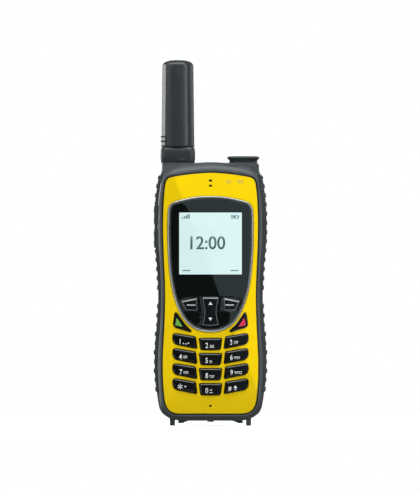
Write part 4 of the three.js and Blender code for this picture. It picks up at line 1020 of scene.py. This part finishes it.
for i in range(4):
    z = 81.2 + i * 1.5
    cut.solid([(rect(5.6, 15.4, z, z + 0.7, 0.3, 4), 12.95), (rect(5.6, 15.4, z, z + 0.7, 0.3, 4), 14)])
boolean(latch, cut.object("cutter", [], 30, False), "DIFFERENCE")
for p in latch.data.polygons:
    p.material_index = 0
if not latch.data.materials:
    latch.data.materials.append(RUBBER)
shade(latch, 35)
show(latch, "battery_latch", ["battery_latch"])

# ------------------------------------------------------------------ port cover
flap = rect(-11.1, 11.1, -2.3, 7.4, 0.8, 5)
f = Form().solid([*rounding(flap, 2.55, 0.25), (flap, 3.75)], ALONG_Z)
f.solid([(circle(7.4, 3.15, 0.6, 24), -11.1), (circle(7.4, 3.15, 0.6, 24), 11.1)], ALONG_X)
tab = rect(-1.7, 1.7, -2.3, 2.0, 0.5, 4)
f.solid([*rounding(tab, 1.85, 0.2), (tab, 2.7)], ALONG_Z)
show(f.object("port_cover_fine", RUBBER, 40), "port_cover", ["port_cover"])

# ------------------------------------------------------------------ materials of the CAD pieces that stay
KEEP = {
    "lcd_backlight": SILICONE, "keypad_mat": SILICONE, "dome_sheet": STEEL, "main_board": BOARD, "rf_shield": STEEL,
    "baseband_shield": STEEL, "earpiece": MESH, "microphone": MESH, "housing_seal": SEAL_AND_GAP_SHADE, "housing_screw_1": STEEL,
    "housing_screw_2": STEEL, "housing_screw_3": STEEL, "housing_screw_4": STEEL, "antenna_helix": GOLD, "antenna_contact": GOLD,
    "battery_cell": WRAP, "battery_contacts": GOLD, "sim_holder": STEEL, "sim_card": WRAP, "loudspeaker": STEEL,
    "gps_patch": CERAMIC, "dock_connector": GOLD}
for name, m in KEEP.items():
    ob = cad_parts[name]
    ob.data.materials.clear()
    ob.data.materials.append(m)

# ------------------------------------------------------------------ stage, light and camera
def flat(name, colour, strength=0.0):
    m = bpy.data.materials.new(name)
    m.use_nodes = True
    b = m.node_tree.nodes["Principled BSDF"]
    b.inputs["Base Color"].default_value = colour
    b.inputs["Roughness"].default_value = 0.9
    b.inputs["Specular IOR Level"].default_value = 0.0
    b.inputs["Emission Color"].default_value = (1, 1, 1, 1)
    b.inputs["Emission Strength"].default_value = strength
    return m


me = bpy.data.meshes.new("floor")
me.from_pydata([(-0.6, -0.6, -0.0002), (0.6, -0.6, -0.0002), (0.6, 0.5, -0.0002), (-0.6, 0.5, -0.0002)], [], [(0, 1, 2, 3)])
floor = bpy.data.objects.new("floor", me)
bpy.context.scene.collection.objects.link(floor)
floor_m = flat("floor_pale", (0.93, 0.93, 0.93, 1), 0.62)
fn, fl = floor_m.node_tree.nodes, floor_m.node_tree.links
dim = fn.new("ShaderNodeBsdfDiffuse"); dim.inputs["Color"].default_value = (0.12, 0.125, 0.125, 1)
fpath, fmix = fn.new("ShaderNodeLightPath"), fn.new("ShaderNodeMixShader")
fl.new(fpath.outputs["Is Camera Ray"], fmix.inputs["Fac"])
fl.new(dim.outputs["BSDF"], fmix.inputs[1]); fl.new(fn["Principled BSDF"].outputs["BSDF"], fmix.inputs[2])
fl.new(fmix.outputs["Shader"], fn["Material Output"].inputs["Surface"])
me.materials.append(floor_m)

world = bpy.data.worlds.new("studio")
bpy.context.scene.world = world
world.use_nodes = True
wn, wl = world.node_tree.nodes, world.node_tree.links
wn.clear()
out = wn.new("ShaderNodeOutputWorld")
seen = wn.new("ShaderNodeBackground"); seen.inputs["Color"].default_value = (1, 1, 1, 1); seen.inputs["Strength"].default_value = 1.0
lit = wn.new("ShaderNodeBackground"); lit.inputs["Color"].default_value = (0.92, 0.98, 1.0, 1); lit.inputs["Strength"].default_value = 0.05
path = wn.new("ShaderNodeLightPath")
pick = wn.new("ShaderNodeMixShader")
wl.new(path.outputs["Is Camera Ray"], pick.inputs["Fac"])
wl.new(lit.outputs["Background"], pick.inputs[1]); wl.new(seen.outputs["Background"], pick.inputs[2])
wl.new(pick.outputs["Shader"], out.inputs["Surface"])


def area_light(name, loc, target, size, size_y, power, colour=(1, 1, 1)):
    d = bpy.data.lights.new(name, "AREA")
    d.shape, d.size, d.size_y, d.energy, d.color = "RECTANGLE", size, size_y, power, colour
    o = bpy.data.objects.new(name, d)
    o.location = loc
    o.rotation_mode = "QUATERNION"
    o.rotation_quaternion = (Vector(target) - Vector(loc)).to_track_quat("-Z", "Y")
    o.visible_camera = False
    bpy.context.scene.collection.objects.link(o)
    return o


area_light("top", (0.0, -0.35, 0.95), (0, 0, 0.1), 0.9, 0.5, 8.9)
area_light("front_left", (-1.0, -1.0, 0.45), (0, 0, 0.1), 0.5, 1.1, 4.7)
area_light("front_right", (1.0, -1.0, 0.5), (0, 0, 0.1), 0.5, 1.1, 7.8)
area_light("strip_left", (-0.80, 0.44, 0.16), (0, 0, 0.13), 0.2, 0.9, 5.2)
area_light("strip_right", (0.42, -1.2, 0.3), (0, 0, 0.13), 0.08, 1.0, 0.7)
area_light("strip_right_back", (0.86, 0.32, 0.16), (0, 0, 0.13), 0.5, 0.9, 3.0)
area_light("back", (0.1, 1.1, 0.7), (0, 0, 0.1), 1.0, 0.8, 2.0)
area_light("floor_front", (0.0, -0.13, 0.004), (0.0, -0.13, 1.0), 0.34, 0.2, 0.12)
area_light("floor_under", (0.0, -0.004, 0.0012), (0.0, -0.004, 1.0), 0.056, 0.034, 0.0011)
area_light("floor_left", (-0.19, 0.1, 0.004), (-0.19, 0.1, 1.0), 0.28, 0.5, 0.36)

# a card beside the camera: its slanting edge shows as the diagonal sheen across the gloss lens
DIST = 8.0
diag = [(-53.4, 219.0), (73.8, -108.0), (110.0, -108.0), (110.0, 219.0)]
CARD = 1.5  # metres from the lens
k = 1 + CARD / DIST
me = bpy.data.meshes.new("card")
me.from_pydata([(k * x * MM, -CARD - 0.0129, (k * (z - 95.1) + 95.1) * MM) for x, z in diag], [], [tuple(range(len(diag)))])
card = bpy.data.objects.new("card", me)
bpy.context.scene.collection.objects.link(card)
card_m = bpy.data.materials.new("card_glow")
card_m.use_nodes = True
cb = card_m.node_tree.nodes["Principled BSDF"]
cb.inputs["Base Color"].default_value = (0, 0, 0, 1)
cb.inputs["Emission Color"].default_value = (0.72, 0.92, 1.0, 1)
cb.inputs["Emission Strength"].default_value = 0.62
me.materials.append(card_m)
card.visible_camera = False
card.visible_shadow = False
card.visible_diffuse = False

beam = bpy.data.lights.new("beam", "POINT")
beam.energy, beam.shadow_soft_size = 622.0, 0.004
beam_o = bpy.data.objects.new("beam", beam)
beam_o.location = (0, -DIST, 0.0951)
beam_o.visible_glossy = False
bpy.context.scene.collection.objects.link(beam_o)
me = bpy.data.meshes.new("mask")
k = 1 - CARD / DIST
me.from_pydata([(k * x * MM, -CARD, (k * (z - 95.1) + 95.1) * MM) for x, z in [(-69.4, 260), (-300, 260), (-300, -60), (55.1, -60)]], [], [(0, 1, 2, 3)])
me.materials.append(card_m)
mask = bpy.data.objects.new("mask", me)
bpy.context.scene.collection.objects.link(mask)
mask.visible_camera = mask.visible_diffuse = mask.visible_glossy = mask.visible_transmission = False

cam_d = bpy.data.cameras.new("camera")
cam = bpy.data.objects.new("camera", cam_d)
bpy.context.scene.collection.objects.link(cam)
cam.location = (-0.00026, -DIST, 0.0951)
cam.rotation_euler = (math.pi / 2, 0, 0)
cam_d.sensor_width = 36.0
cam_d.lens = 36.0 * (DIST - 0.0125) / 0.2579
cam_d.clip_start, cam_d.clip_end = 0.05, 20
bpy.context.scene.camera = cam
bpy.context.scene.view_settings.view_transform = "Standard"
